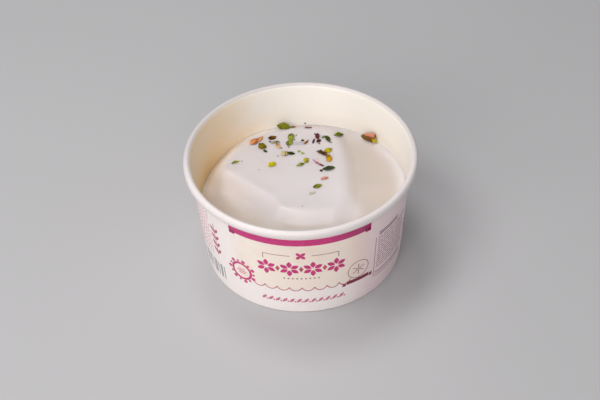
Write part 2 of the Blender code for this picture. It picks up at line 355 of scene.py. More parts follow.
def arcPoints(centre, size, start, turn, steps):
    points = []
    for step in range(steps + 1):
        angle = math.radians(start + turn * step / steps)
        points.append((centre[0] + size[0] * math.cos(angle), centre[1] + size[1] * math.sin(angle)))
    return points


def sheetOutline(path):
    # both faces of a board whose middle follows the path of (radius, height)
    left, right = [], []
    last = len(path) - 1
    for index, point in enumerate(path):
        here = Vector(point)
        wayIn = (here - Vector(path[max(index - 1, 0)])).normalized()
        wayOut = (Vector(path[min(index + 1, last)]) - here).normalized()
        way = (wayIn + wayOut).normalized()
        side = Vector((-way.y, way.x)) * tub["board"] / 2 / max(way.dot(wayIn), way.dot(wayOut))
        left.append(here + side)
        right.append(here - side)
    return left + right[::-1]


def wallPath():
    half = tub["board"] / 2
    fold = (tub["foldRadius"], tub["foldRadius"])
    foldHeight = half + tub["foldRadius"]
    layers = 2 * (tub["board"] + tub["gap"])
    outer = wallOutside(0.0) - half
    path = [(wallOutside(tub["hemHeight"]) - half - layers, tub["hemHeight"])]
    path += arcPoints((outer - layers + fold[0], foldHeight), fold, 180, 90, tub["foldSteps"])
    path += arcPoints((outer - fold[0], foldHeight), fold, 270, 90, tub["foldSteps"])
    path += [(wallOutside(neckHeight * share) - half, neckHeight * share) for share in tub["risePlaces"]]
    centre = (rimRadius - tub["curlWidth"] / 2, tubHeight - tub["curlHeight"] / 2)
    size = (tub["curlWidth"] / 2 - half, tub["curlHeight"] / 2 - half)
    turn = tub["curlEnd"] - tub["curlStart"]
    return path + arcPoints(centre, size, tub["curlStart"], turn, tub["curlSteps"])


def buildTurnedBoardTree():
    # turns a board's outline about Z, laps its glued seam, and presses ripples in the hem
    tree, take, result = newShaping("turnedBoard", {
        "Geometry": "outline",
        "Int": "turnSteps",
        "Float": "footRadius taper board neckHeight seamTurn seamSpan seamStep innerSeamStep"
                 " hemHeight hemRipples hemRippleDepth waver",
        "Material": "finish",
    })
    profile = outOf(tree, "GeometryNodeMeshToCurve", {"Mesh": take["outline"]})
    ring = {"Resolution": take["turnSteps"], "Radius": 1.0}
    circle = outOf(tree, "GeometryNodeCurvePrimitiveCircle", ring)
    swept = outOf(tree, "GeometryNodeCurveToMesh", {"Curve": circle, "Profile Curve": profile})
    x, y, down = partsOf(outOf(tree, "GeometryNodeInputPosition"))
    z = down * -1.0
    radius = distance(x, y) - 1.0
    angle = y.calc("ARCTAN2", x)
    depth = z * take["taper"] + take["footRadius"] - radius
    toNeck = z - take["neckHeight"]
    across = (angle - take["seamTurn"]) / take["seamSpan"]
    lap = across.calc("GREATER_THAN", 0.0) * across.remap(1.0, 2.0, 1.0, 0.0, False)
    lift = lap * depth.calc("LESS_THAN", 0.04 * mm) * take["seamStep"]
    innerLap = across.calc("LESS_THAN", 1.0) * across.remap(-1.5, 1.0)
    sink = innerLap * depth.calc("COMPARE", take["board"], 0.06 * mm) * take["innerSeamStep"]
    onWall = toNeck.fade(-1.0, 0.0, 1.0, 0.0) * z.fade(0.3, 1.2)
    inHem = depth.calc("GREATER_THAN", take["board"] * 2.2) * z.calc("LESS_THAN", take["hemHeight"])
    ripple = (angle * take["hemRipples"]).calc("SINE") * take["hemRippleDepth"] * inHem * z.fade(0.6, 1.8)
    swell = ((angle * 3.0 + 0.7).calc("SINE") - 1.0) * take["waver"] * toNeck.fade(-1.5, 3.0)
    radius = radius + (lift - sink) * onWall + ripple + swell
    place = combine(tree, radius * angle.calc("COSINE"), radius * angle.calc("SINE"), z)
    moved = outOf(tree, "GeometryNodeSetPosition", {"Geometry": swept, "Position": place})
    return endTree(tree, result, moved, take["finish"])


def keepHeights(obj):
    # how far each place of the wall is above the ice cream beside it
    places = np.empty(3 * len(obj.data.vertices))
    obj.data.vertices.foreach_get("co", places)
    x, y, z = places.reshape(-1, 3).T
    keepOnPoints(obj, "aboveCream", z - levelAtWall(np.arctan2(y, x)))


def makeTubWall(finish):
    outline = sheetOutline(wallPath())
    count = len(outline)
    edges = [(index, (index + 1) % count) for index in range(count)]
    obj = meshObject("tubWall", [(point.x, point.y, 0.0) for point in outline], edges)
    runTree(obj, buildTurnedBoardTree(), {
        **tub,
        "taper": wallTaper,
        "neckHeight": neckHeight,
        "seamTurn": math.radians(tub["seamAngle"]),
        "seamSpan": tub["seamWidth"] / tub["footRadius"],
        "hemHeight": tub["hemHeight"] + 1.0 * mm,
        "finish": finish,
    })
    keepHeights(obj)
    finishPiece(obj, 40, ["cup_wall"])


boardLook = {
    "creamField": fromSrgb(252, 237, 224),
    # painted light: the field is paler on the tub's left side
    "leftLitField": fromSrgb(254, 243, 232),
    "pinkWhite": fromSrgb(253, 244, 241),
    "rose": (0.98, 0.86, 0.905, 1.0),  # share of each colour left on the right side, where a painted rosy reflection and shade lies
    "tan": fromSrgb(236, 212, 190),
    "inside": fromSrgb(254, 249, 241),
    # painted warm shade and reflected light on the inner wall near the cream, deepest low on the left
    "warmShadeByCream": fromSrgb(253, 225, 184),
    "deepWarmShade": fromSrgb(254, 218, 162),
    "rim": fromSrgb(223, 215, 214),
    "scales": (1500.0, 45.0),  # of the fibres and the mottle
    "fibreShade": (0.965, 1.02),
    "blotches": (0.5, 0.75, 0.0, 0.4),
    "rough": (0.36, 0.5),
    "bump": (0.25, 0.2 * mm),  # strength and depth
    "shader": {"Coat Weight": 0.1, "Coat Roughness": 0.3},
    # fades from one place to another in mm, along the tub or above the ice cream (Up)
    "leftLitToCream": (-26.0, -10.0),
    "rosyShade": (13.0, 27.0),
    # painted warm shade on the inner wall, by place and by height above the cream
    "warmShade": (-6.0, -38.0, 0.08, 1.0),
    "warmShadeUp": (13.0, 1.0),
    "farWarmShade": (-15.0, -39.0),
    "farWarmShadeUp": (20.0, 6.0, 0.75, 1.0),
    "deepestShade": (-33.0, -41.0),
    "deepestShadeUp": (9.0, 2.0),
    # painted shade toward the right of the inner wall, and a painted contact shade just above the cream
    # (low, lowUp)
    "innerShadeToRight": (10.0, 30.0, 1.0, 0.91),
    "low": (-2.0, 10.0),
    "lowUp": (7.0, 1.0, 0.0, -0.07),
    "printTop": (45.0, 45.8, 1.0, 0.0),
    "rimBeyond": (0.5, 1.1),
    "rimTop": (49.4, 50.1),
    "rimShade": (-22.0, 12.0, 1.1, 0.93),
}
printLayout = {
    "centres": (-2, 118, 238),  # middle of each printed panel, degrees to the right of the front
    "halfWidth": 41.0,
    "scallopTop": 15.7 * mm,
    "scallopDepth": 2.0 * mm,
    "scallopPitch": 5.15 * mm,
    "scallops": 8,
    "scallopPower": 0.75,  # 1 makes a scallop a plain arc, less makes it fuller
    "fieldTop": (-0.1, 0.3),  # mm over which the field sets in above the scallops
    "fieldSides": (0.05, -0.2),  # radians past its half width, where it ends and where it is full
    "wrapRadius": 43.3 * mm,  # radius at which the print is drawn to scale
    "film": 0.035 * mm,  # how far the ink stands proud of the board
    "sunk": 0.06 * mm,
    "cutEvery": 1.1,  # mm between the bends of a film round the tub
}


def panelField(turn, z):
    # 1 inside the cream field of a panel, above its scalloped edge
    half = math.radians(printLayout["halfWidth"])
    pitches = printLayout["wrapRadius"] / printLayout["scallopPitch"]
    shares = []
    for centre in printLayout["centres"]:
        offset = (turn - math.radians(centre)).calc("WRAP", math.pi, -math.pi)
        swing = (offset * pitches + 0.5 * (printLayout["scallops"] % 2)).calc("FRACT") * 2.0 - 1.0
        dip = (swing * swing * -1.0 + 1.0).calc("POWER", printLayout["scallopPower"])
        above = z - printLayout["scallopTop"] + dip * printLayout["scallopDepth"]
        beyond = offset.calc("ABSOLUTE") - half
        shares.append(above.fade(*printLayout["fieldTop"]) * beyond.remap(*printLayout["fieldSides"]))
    return shares[0].calc("MAXIMUM", shares[1]).calc("MAXIMUM", shares[2])


def makeBoardMaterial():
    look = boardLook
    material, tree = newMaterial("coatedBoard")
    x, y, z = partsOf(objectPlace(tree))
    radius = distance(x, y)
    above = ownValue(tree, "aboveCream")
    grain = useGroup(tree, boardGrain, *look["scales"])

    # painted light: the cream field turns paler toward the left
    field = x.fade(*look["leftLitToCream"]).blend(look["leftLitField"], look["creamField"])
    field = grain["mottle"].remap(*look["blotches"]).blend(field, look["tan"])
    ground = panelField(x.calc("ARCTAN2", y * -1.0), z).blend(look["pinkWhite"], field)
    # painted rosy reflection and shade on the right side of the tub
    ground = x.fade(*look["rosyShade"]).blend(ground, ground.tint(look["rose"]))

    # painted warm shade and reflected light low on the inner wall, strongest on the left
    farWarmShade = x.fade(*look["farWarmShade"]) * above.fade(*look["farWarmShadeUp"])
    warmShade = (x.fade(*look["warmShade"]) * above.fade(*look["warmShadeUp"])).calc("MAXIMUM", farWarmShade)
    deepestShade = x.fade(*look["deepestShade"]) * above.fade(*look["deepestShadeUp"])
    inner = deepestShade.blend(warmShade.blend(look["inside"], look["warmShadeByCream"]), look["deepWarmShade"])
    # painted contact shade just above the cream, and painted shade toward the right
    inner = inner.tint(x.fade(*look["low"]) * above.fade(*look["lowUp"]) + x.fade(*look["innerShadeToRight"]))

    toRim = (radius - wallInside(neckHeight)).fade(*look["rimBeyond"])
    toRim = toRim.calc("MAXIMUM", z.fade(*look["rimTop"]))
    plain = toRim.blend(inner, y.fade(*look["rimShade"]).tint(look["rim"]))
    middle = z * wallTaper + (tub["footRadius"] - tub["board"] / 2)
    printed = radius.calc("GREATER_THAN", middle) * z.fade(*look["printTop"])
    colour = printed.blend(plain, ground).tint(grain["fibre"].spread(*look["fibreShade"]))
    return finishMaterial(material, look, colour, grain["mottle"].spread(*look["rough"]), grain["height"])


# The base, seen from below

baseLook = {
    "light": fromSrgb(238, 229, 218),
    "dark": fromSrgb(228, 217, 203),
    "scales": (1100.0, 70.0),
    "patches": (0.35, 0.65),
    "fibreShade": (0.94, 1.03),
    "rough": (0.5, 0.66),
    "bump": (0.35, 0.2 * mm),
    "shader": {},
}


def makeBaseMaterial():
    look = baseLook
    material, tree = newMaterial("baseBoard")
    grain = useGroup(tree, boardGrain, *look["scales"])
    colour = grain["mottle"].remap(*look["patches"]).blend(look["light"], look["dark"])
    colour = colour.tint(grain["fibre"].spread(*look["fibreShade"]))
    return finishMaterial(material, look, colour, grain["fibre"].spread(*look["rough"]), grain["height"])


def dressBase():
    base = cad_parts["cup_base"]
    base.data.materials.clear()
    base.data.materials.append(makeBaseMaterial())
    print("dressed the base")


# The ice cream: a dome that meets the wall, a scooped mass on it and a valley on the right

cream = {
    "domeLevel": 31.3 * mm,
    "domePower": 2.0,  # higher keeps the dome flat further out
    "massLevel": 32.2 * mm,  # flat top of the mass
    "rightEdge": 19.5 * mm,  # where the mass steps down on the right, at rightMiddle
    "rightMiddle": 7.0 * mm,
    "rightBulge": 106.0 * mm,  # radius of the right edge in plan
    "rightStep": 9.0 * mm,
    "valleyDepth": 1.4 * mm,
    "valleyShoulder": 9.0 * mm,  # over which the valley rises again to the wall
    "frontEdge": -18.0 * mm,
    "frontStep": 9.0 * mm,
    "cornerTurn": 47,  # degrees, way that the front left corner is cut
    "cornerReach": -16.4 * mm,
    "cornerStep": 7.0 * mm,
    # uneven edge of that corner: how far in, where along it, over what length (mm)
    "cornerDents": ((1.0, 9.0, 9.0), (-1.6, -2.0, 4.0), (0.6, 24.0, 6.0)),
    "wallShoulder": 8.0 * mm,
    "edgeRounding": 0.2,
    "lipHeight": 0.26 * mm,
    "lipSpread": 0.32,
    "lipInward": (0.6, 0.4),  # steps that the lip keeps from the wall and the right edge
    # level at the wall every 30 degrees, from +X round by the back
    "wallLevels": (31.5, 31.3, 30.6, 29.4, 29.4, 26.2, 24.7, 24.6, 25.2, 26.4, 28.4, 30.6),
    "crevice": 0.3 * mm,  # how far the surface rolls down right at the wall, on the right
    "creviceWidth": 0.4 * mm,
    "creviceFrom": (-8.0 * mm, 12.0 * mm),  # where it sets in, from left to right, and over what
    "intoWall": 0.2 * mm,
    "floorDrop": 0.1 * mm,  # how far the cream reaches down into the base
    "toneShoulder": 12.0 * mm,  # how far from the wall the painted warm shade on the cream begins
    "toneCentre": (0.5 * mm, 8.5 * mm),
    "rimBand": 7.0 * mm,  # paler band, a painted highlight, where the valley rises to the wall
    "rimBandTone": 0.85,
    # where the painted shade and highlight set in and over what length, toward the front, the corner and
    # the back
    "toneFront": (2.0 * mm, 14.0 * mm),
    "toneCorner": ((-0.3, 1.2), (-1.6, 1.6)),
    "rimBandFrom": (-16.0 * mm, 12.0 * mm),
    # spatula drags, broad swells and fine dimples: scales across and along, height in mm
    "drags": (60.0, 25.0, -80.0, 210.0, 0.07),
    "swells": (45.0, 0.16),
    "dimples": (420.0, 0.012),
    "turnSteps": 384,
    "rings": 150,
    "ringPower": 1.25,  # above 1 draws the rings closer together by the wall
    "seed": 3,
}


def ease(share):
    share = np.clip(share, 0.0, 1.0)
    return share * share * (3 - 2 * share)


def rise(value, start, length):
    return ease((value - start) / length)


def softLeast(values, rounding):
    # least of the values, with the corner between them rounded
    return -rounding * np.log(sum(np.exp(-value / rounding) for value in values))


def levelAtWall(angle):
    levels = np.array(cream["wallLevels"]) * mm
    count = len(levels)
    place = np.degrees(angle) % 360 / 360 * count
    first = np.floor(place).astype(int)
    part = place - first
    a, b, c, d = [levels[(first + offset) % count] for offset in (-1, 0, 1, 2)]
    bend = (2 * a - 5 * b + 4 * c - d) * part ** 2 + (3 * b - a - 3 * c + d) * part ** 3
    return b + 0.5 * ((c - a) * part + bend)


def fromWall(x, y):
    return wallInside(cream["domeLevel"]) - np.hypot(x, y)


def massEdges(x, y):
    # share of each edge's step that a place lies inside the mass
    turn = math.radians(cream["cornerTurn"])
    bulge = (y - cream["rightMiddle"]) ** 2 / 2 / cream["rightBulge"]
    right = (cream["rightEdge"] - bulge - x) / cream["rightStep"] + 0.5
    front = (y - cream["frontEdge"]) / cream["frontStep"] + 0.5
    corner = x * math.cos(turn) + y * math.sin(turn) - cream["cornerReach"]
    along = y * math.cos(turn) - x * math.sin(turn)
    for depth, middle, length in cream["cornerDents"]:
        corner = corner - depth * mm * np.exp(-((along / mm - middle) / length) ** 2)
    corner = corner / cream["cornerStep"] + 0.5
    return right, front, corner, fromWall(x, y) / cream["wallShoulder"]


def levelAt(x, y):
    share = np.minimum(np.hypot(x, y) / wallInside(cream["domeLevel"]), 1.0) ** cream["domePower"]
    dome = cream["domeLevel"] + (levelAtWall(np.arctan2(y, x)) - cream["domeLevel"]) * share
    right, front, corner, wall = massEdges(x, y)
    inMass = ease(softLeast((right, front, corner, wall), cream["edgeRounding"]))
    lipWall, lipRight = cream["lipInward"]
    edge = softLeast((front, corner, wall + lipWall, right + lipRight), cream["edgeRounding"])
    lip = cream["lipHeight"] * np.exp(-((edge - 1.0) / cream["lipSpread"]) ** 2)
    valley = (1 - ease(right)) * ease(fromWall(x, y) / cream["valleyShoulder"])
    return dome + (cream["massLevel"] - dome) * inMass + lip - cream["valleyDepth"] * valley


def paintedCreamShade(x, y):
    # 1 where the cream is palest, falling to 0 in the valley, by the wall and on the low front left: a
    # map of painted shade, with a painted highlight where the valley rises to the wall
    right, front, corner, wall = massEdges(x, y)
    inMass = ease(right)
    away = np.hypot(x - cream["toneCentre"][0], y - cream["toneCentre"][1])
    wall = (wallInside(cream["domeLevel"]) - away) / cream["toneShoulder"]
    toFront = rise(-y, *cream["toneFront"])
    right = (right - 0.5) / (1 + 0.5 * toFront) + 0.6 + 0.4 * toFront  # wider toward the front
    limits = (right, wall, (front + 0.8) / 1.8)
    outside = sum(rise(corner, *edge) for edge in cream["toneCorner"]) / 2
    tone = ease(softLeast(limits, cream["edgeRounding"])) * outside
    # painted highlight where the valley rises to the wall
    byWall = (1 - inMass) * (1 - ease(fromWall(x, y) / cream["rimBand"]))
    return tone + cream["rimBandTone"] * byWall * rise(y, *cream["rimBandFrom"])


def smearAt(x, y):
    # shallow drags of a spatula and small dimples, in metres
    seed = cream["seed"]
    alongX, skewX, skewY, alongY, dragHeight = cream["drags"]
    swellScale, swellHeight = cream["swells"]
    dimpleScale, dimpleHeight = cream["dimples"]
    drag = noise.noise(Vector((x * alongX + y * skewX, y * alongY + x * skewY, seed)))
    swell = noise.noise(Vector((x * swellScale, y * swellScale, seed + 7.0)))
    dimple = noise.noise(Vector((x * dimpleScale, y * dimpleScale, seed + 11.0)))
    return (dragHeight * drag + swellHeight * swell + dimpleHeight * dimple) * mm


def makeIceCream(finish):
    steps = cream["turnSteps"]
    angles = np.arange(steps) * 2 * math.pi / steps
    edge = wallInside(levelAtWall(angles)) + cream["intoWall"]
    vertices = [(0.0, 0.0, float(levelAt(0.0, 0.0)) + smearAt(0.0, 0.0))]
    for ring in range(1, cream["rings"] + 1):
        reach = edge * (1 - (1 - ring / cream["rings"]) ** cream["ringPower"])
        x, y = reach * np.cos(angles), reach * np.sin(angles)
        toWall = edge - cream["intoWall"] - reach
        roll = np.clip(1 - toWall / cream["creviceWidth"], 0, 1) ** 2
        z = levelAt(x, y) - cream["crevice"] * roll * rise(x, *cream["creviceFrom"])
        vertices += [(a, b, c + smearAt(a, b)) for a, b, c in zip(x.tolist(), y.tolist(), z.tolist())]
    floor = tub["baseRise"] + tub["board"] - cream["floorDrop"]
    foot = wallInside(floor) + cream["intoWall"]
    vertices += [(foot * math.cos(a), foot * math.sin(a), floor) for a in angles]
    vertices.append((0.0, 0.0, floor))
    obj = meshObject("iceCream", vertices, (), ringedFaces(cream["rings"] + 1, steps))
    x, y, z = np.array(vertices).T
    keepOnPoints(obj, "tone", paintedCreamShade(x, y))
    obj.data.materials.append(finish)
    finishPiece(obj, 60, ["ice_cream"])


creamLook = {
    "pale": fromSrgb(231, 223, 224),
    # painted warm shade, where the tone kept on the mesh falls
    "shadedCream": fromSrgb(213, 200, 191),
    # painted light in the groove by the left wall
    "litByLeftWall": fromSrgb(246, 237, 229),
    "melted": fromSrgb(196, 190, 200),
    "meltedAt": (-0.5 * mm, 27.6 * mm),
    "meltedSize": (5.0 * mm, 2.0 * mm),
    "meltedFade": (1.5, 0.6, 0.0, 0.75),
    "meltedEdge": 1.2,  # how uneven its edge is
    "broadScale": 90.0,
    "fineScale": 900.0,
    "fineHeight": 0.25,
    "palest": (0.15, 1.15),
    "broadTone": 0.3,
    "broadShade": (0.985, 1.01),
    "rough": (0.3, 0.46),  # from the wettest to the driest
    "bump": (0.22, 0.25 * mm),
    "shader": {
        "Subsurface Weight": 0.7,
        "Subsurface Radius": (1.0, 0.87, 0.78),
        "Subsurface Scale": 2.5 * mm,
        "Coat Weight": 0.05,
    },
    # fades from one place to another in mm, and from one value to another
    # painted light on the right front and on the left slope, and painted shade toward the back
    "rightGlow": (8.0, 20.0, 0.0, 0.1),
    "rightGlowFront": (5.0, -10.0),
    "slopeSlant": 1.8,
    "slopeFrom": (-62.0, -53.0),
    "slopeFront": (14.0, 9.0),
    "slopeGlow": (-18.0, -34.0, 0.0, 0.14),
    "shadeToBack": (2.0, 38.0, 0.95, 0.78, False),
    # where the painted light by the left wall lies, and how much of it
    "leftSide": (-2.0, -18.0),
    "leftBack": (-4.0, 9.0),
    "farLeft": (-22.0, -32.0),
    "farLeftReach": (34.5, 40.0),
    "wallReach": (37.5, 42.0),
    "byWallShare": 0.97,
}


def makeCreamMaterial():
    look = creamLook
    material, tree = newMaterial("plainIceCream")
    place = objectPlace(tree)
    x, y, z = partsOf(place)
    radius = distance(x, y)
    broad = noiseAt(place, look["broadScale"], detail=3.0, roughness=0.55)
    fine = noiseAt(place, look["fineScale"], detail=3.0, roughness=0.6, distortion=0.4)
    # the tone kept on the mesh is painted shade and highlight; the broad noise adds random tone
    toPale = (broad * look["broadTone"] + ownValue(tree, "tone")).remap(*look["palest"])
    colour = toPale.blend(look["shadedCream"], look["pale"])

    across, along = [
        (value - middle) / size
        for value, middle, size in zip((x, y), look["meltedAt"], look["meltedSize"])]
    melted = fine * look["meltedEdge"] + across * across + along * along
    colour = melted.remap(*look["meltedFade"]).blend(colour, look["melted"])

    # painted light on the right front and the left slope, and painted shade toward the back
    onRight = x.fade(*look["rightGlow"]) * y.fade(*look["rightGlowFront"])
    onSlope = (x * look["slopeSlant"] + y).fade(*look["slopeFrom"]) * y.fade(*look["slopeFront"])
    glow = onSlope * x.fade(*look["slopeGlow"]) + onRight + 1.0
    colour = colour.tint(glow * y.fade(*look["shadeToBack"]) * broad.spread(*look["broadShade"]))

    # painted light by the left wall, over the shade of the groove there
    farLeft = x.fade(*look["farLeft"]) * radius.fade(*look["farLeftReach"])
    nearWall = farLeft.calc("MAXIMUM", radius.fade(*look["wallReach"]))
    litByLeft = x.fade(*look["leftSide"]) * y.fade(*look["leftBack"]) * nearWall * look["byWallShare"]
    colour = litByLeft.blend(colour, look["litByLeftWall"])
    height = fine * look["fineHeight"] + broad
    return finishMaterial(material, look, colour, broad.spread(*look["rough"]), height)


# Toppings: chopped nuts, leaves, petals, a stalk and crumbs, one piece for each kind

toppings = {
    # kind, x and y of the middle, length, width, turn, lift of the far side, tint (mm and degrees)
    "laid": [
        ("leaf", -6.7, 40.1, 6.5, 4.0, -14, 50, "oliveLeaf"),
        ("petal", -2.6, 40.7, 2.8, 1.1, 8, 0, "pinkBrown"),
        ("petal", 3.9, 38.7, 3.7, 1.0, -2, 0, "redBrown"),
        ("petal", -19.6, 29.5, 5.4, 3.9, 66, 0, "salmon"),
        ("petal", -17.2, 31.0, 4.6, 2.5, 55, 12, "salmon"),
        ("nut", -16.2, 26.1, 4.1, 4.0, -14, 0, "oliveBrown"),
        ("crumb", -14.9, 23.1, 2.3, 1.6, -30, 0, "darkGreen"),
        ("nut", -11.9, 31.7, 3.9, 2.9, 16, 0, "brown"),
        ("petal", -10.8, 28.8, 4.2, 1.6, 18, 0, "greyGreen"),
        ("petal", -9.3, 26.3, 4.5, 1.9, -66, 0, "peach"),
        ("nut", -3.7, 31.7, 4.7, 3.5, -80, 0, "brightGreen"),
        ("nut", -4.5, 27.9, 4.1, 3.1, 70, 0, "brightGreen"),
        ("crumb", 1.2, 29.4, 1.6, 1.2, -5, 0, "darkGreen"),
        ("petal", 2.6, 28.0, 2.5, 1.7, 52, 0, "peach"),
        ("petal", 7.7, 31.4, 3.7, 2.6, -76, 15, "maroon"),
        ("petal", 5.9, 28.7, 3.9, 1.3, 77, 0, "maroon"),
        ("crumb", 8.1, 28.5, 2.5, 2.0, 20, 0, "darkMaroon"),
        ("leaf", 12.2, 29.5, 5.1, 2.5, -72, 0, "darkGreen"),
        ("leaf", 10.7, 31.1, 3.0, 1.4, 20, 0, "leafGreen"),
        ("leaf", 17.0, 34.0, 5.4, 3.2, 30, 0, "leafGreen"),
        ("petal", -6.5, 20.7, 4.1, 3.7, 26, 0, "beige"),
        ("nut", -4.1, 21.0, 4.0, 2.3, -3, 0, "darkGreen"),
        ("crumb", -0.5, 22.2, 1.7, 1.1, 20, 0, "paleGreen"),
        ("crumb", 1.0, 20.9, 2.0, 1.1, -32, 0, "paleGreen"),
        ("petal", 8.7, 21.0, 3.1, 2.8, -30, 0, "darkBrown"),
        ("nut", 10.3, 19.8, 3.3, 2.9, -38, 0, "brown"),
        ("nut", 12.0, 21.9, 3.6, 3.1, 22, 0, "yellowGreen"),
        ("nut", 12.1, 16.8, 4.8, 3.3, -82, 0, "orange"),
        ("nut", 2.4, 16.1, 3.3, 2.7, -60, 0, "yellowGreen"),
        ("leaf", -0.1, 13.6, 4.1, 2.1, 22, 0, "freshGreen"),
        ("stalk", 7.3, 13.9, 6.3, 0.8, -42, 0, "pinkStalk"),
        ("leaf", 11.7, 10.2, 6.0, 3.2, 4, 0, "greyLeaf"),
        ("crumb", 8.5, 9.2, 1.5, 1.3, -5, 0, "darkGreen"),
        ("nut", -12.2, 14.2, 3.8, 3.3, 24, 0, "yellow"),
        ("leaf", -27.7, 16.7, 3.9, 1.6, 22, 0, "freshGreen"),
        ("petal", 9.7, 4.2, 3.9, 1.8, 19, 0, "rosePetal"),
        ("leaf", 6.6, -0.7, 4.7, 2.6, 24, 0, "olive"),
        ("petal", 4.1, -4.9, 3.4, 1.4, 27, 0, "faintGreen"),
    ],
    # dust of the same stuff, too fine for the solid model: x, y, size, tint
    "specks": [
        (0.0, -12.7, 0.6, "greyGreen"),
        (-17.7, 11.3, 0.45, "redBrown"),
        (-7.9, 24.9, 0.8, "darkMaroon"),
        (-8.9, 28.6, 0.8, "redBrown"),
        (-12.9, 29.4, 1.1, "darkGreen"),
        (3.6, 29.4, 0.8, "redBrown"),
        (-1.4, 33.2, 0.8, "paleGreen"),
        (-2.2, 30.0, 0.7, "greyGreen"),
        (-4.9, 25.4, 0.8, "darkGreen"),
        (8.3, 26.9, 1.0, "leafGreen"),
        (6.6, 33.4, 0.9, "darkMaroon"),
        (7.2, 21.9, 0.9, "darkGreen"),
        (11.0, 18.0, 0.8, "brown"),
        (-24.9, 17.4, 0.7, "paleGreen"),
        (-9.6, 19.6, 0.7, "greyGreen"),
        (13.5, 27.2, 0.8, "darkGreen"),
    ],
    "sunkShare": 0.3,  # share of its height that each lies below the surface
    "leastHeight": 0.8 * mm,
    "tilt": 5.0,  # degrees that a piece may lie out of level
    "onWall": (2.6, 30.5, 1.0, "darkGreen"),  # x, height, size and tint of a speck on the back wall
    "shapeSeed": 24,  # the number of a row is added to it
    "speckSeed": 100,
    "wallSpeckSeed": 200,
    "speckSink": 0.2 * mm,
    "speckWidth": 0.8,
    "wallSpeckLean": 85,
    "liftShare": 0.3,  # how far a lifted piece rises, as a share of its width
    "seed": 12,
}
topTints = {
    # face, skin and flecks
    "oliveLeaf": ((122, 122, 10), (76, 76, 4), (176, 184, 56)),
    "leafGreen": ((118, 128, 20), (56, 64, 8), (172, 184, 70)),
    "freshGreen": ((154, 162, 34), (92, 100, 18), (190, 198, 84)),
    "darkGreen": ((70, 80, 12), (36, 44, 4), (140, 150, 60)),
    "greyLeaf": ((52, 64, 6), (32, 40, 4), (176, 176, 168)),
    "paleGreen": ((160, 180, 66), (122, 144, 46), (200, 208, 120)),
    "brightGreen": ((148, 154, 42), (72, 74, 14), (212, 214, 120)),
    "olive": ((146, 142, 20), (88, 88, 12), (196, 194, 76)),
    "oliveBrown": ((122, 108, 6), (72, 64, 4), (180, 172, 60)),
    "yellowGreen": ((192, 182, 18), (140, 128, 8), (222, 216, 90)),
    "yellow": ((222, 212, 38), (188, 172, 20), (234, 228, 110)),
    "orange": ((204, 158, 12), (156, 112, 8), (190, 176, 40)),
    "salmon": ((216, 148, 96), (172, 98, 56), (236, 190, 156)),
    "rosePetal": ((220, 158, 134), (192, 110, 94), (240, 214, 202)),
    "peach": ((218, 176, 120), (124, 70, 44), (190, 144, 96)),
    "beige": ((206, 192, 138), (122, 68, 66), (160, 168, 90)),
    "pinkBrown": ((192, 132, 88), (90, 48, 22), (226, 180, 150)),
    "pinkStalk": ((208, 142, 150), (96, 18, 34), (190, 110, 120)),
    "redBrown": ((184, 128, 100), (112, 68, 60), (208, 164, 142)),
    "brown": ((124, 80, 18), (56, 34, 10), (160, 150, 44)),
    "darkBrown": ((94, 54, 16), (48, 26, 8), (176, 140, 90)),
    "greyGreen": ((166, 154, 108), (102, 102, 66), (186, 184, 146)),
    "maroon": ((108, 16, 16), (60, 8, 10), (212, 176, 180)),
    "darkMaroon": ((78, 22, 18), (38, 10, 10), (168, 140, 116)),
    "faintGreen": ((212, 206, 190), (190, 186, 166), (216, 212, 202)),
}
topShapes = {
    # corners of the outline, least reach of a corner, share that every other corner keeps of it,
    # share of the outline that the top has, height as a share of the width, how far the sides
    # fold up, and how rough the face is
    "leaf": {"corners": 8, "least": 0.8, "notch": 0.84, "top": 0.6, "height": 0.3, "fold": 0.18,
             "rough": 0.14},
    "petal": {"corners": 7, "least": 0.7, "notch": 0.88, "top": 0.65, "height": 0.34, "fold": 0.1,
              "rough": 0.22},
    "nut": {"corners": 7, "least": 0.78, "notch": 0.9, "top": 0.6, "height": 0.5, "fold": 0.0,
            "rough": 0.26},
    "crumb": {"corners": 6, "least": 0.75, "notch": 0.9, "top": 0.55, "height": 0.6, "fold": 0.0,
              "rough": 0.22},
    "stalk": {"height": 1.0, "bend": 0.04, "blunt": 0.25, "span": 1.0, "arc": 0.04, "rough": 0.12},
}
shards = {
    "around": 60,
    "topRings": 9,
    "underRings": (2 / 3, 1 / 3),  # shares of the outline, downward
    "raggedness": 0.16,
    "raggedScale": 2200,
    "roundness": 0.6,  # lower makes the sides steeper
    "bumpScale": 1500,
    "fineBumpScale": 4200,
    "fineBumps": 0.5,
    "underBumps": 0.35,
    "foldRounding": 0.04,
    "skinSlope": 1.1,  # how fast the skin gives way to the face from one side to the other
    "skinPatches": 0.6,
    "skinScale": 900,
    "rimSkinShade": 0.08,  # the dark skin shows a little more right at the rim, partly as painted edge shade
}


def brokenOutline(look, draw):
    # corners of an uneven outline within half a unit; the two ends reach furthest
    count = look["corners"]
    corners = []
    for corner in range(count):
        reach = draw.uniform(look["least"], 1.0) * (look["notch"] if corner % 2 else 1.0)
        if corner in (0, count // 2):
            reach = 1.0
        corners.append(Vector(outFrom(0.0, 0.0, 0.5 * reach, 360 * corner / count)))
    return corners


def noiseShift(draw):
    return Vector([draw.uniform(0, 50) for axis in range(3)])


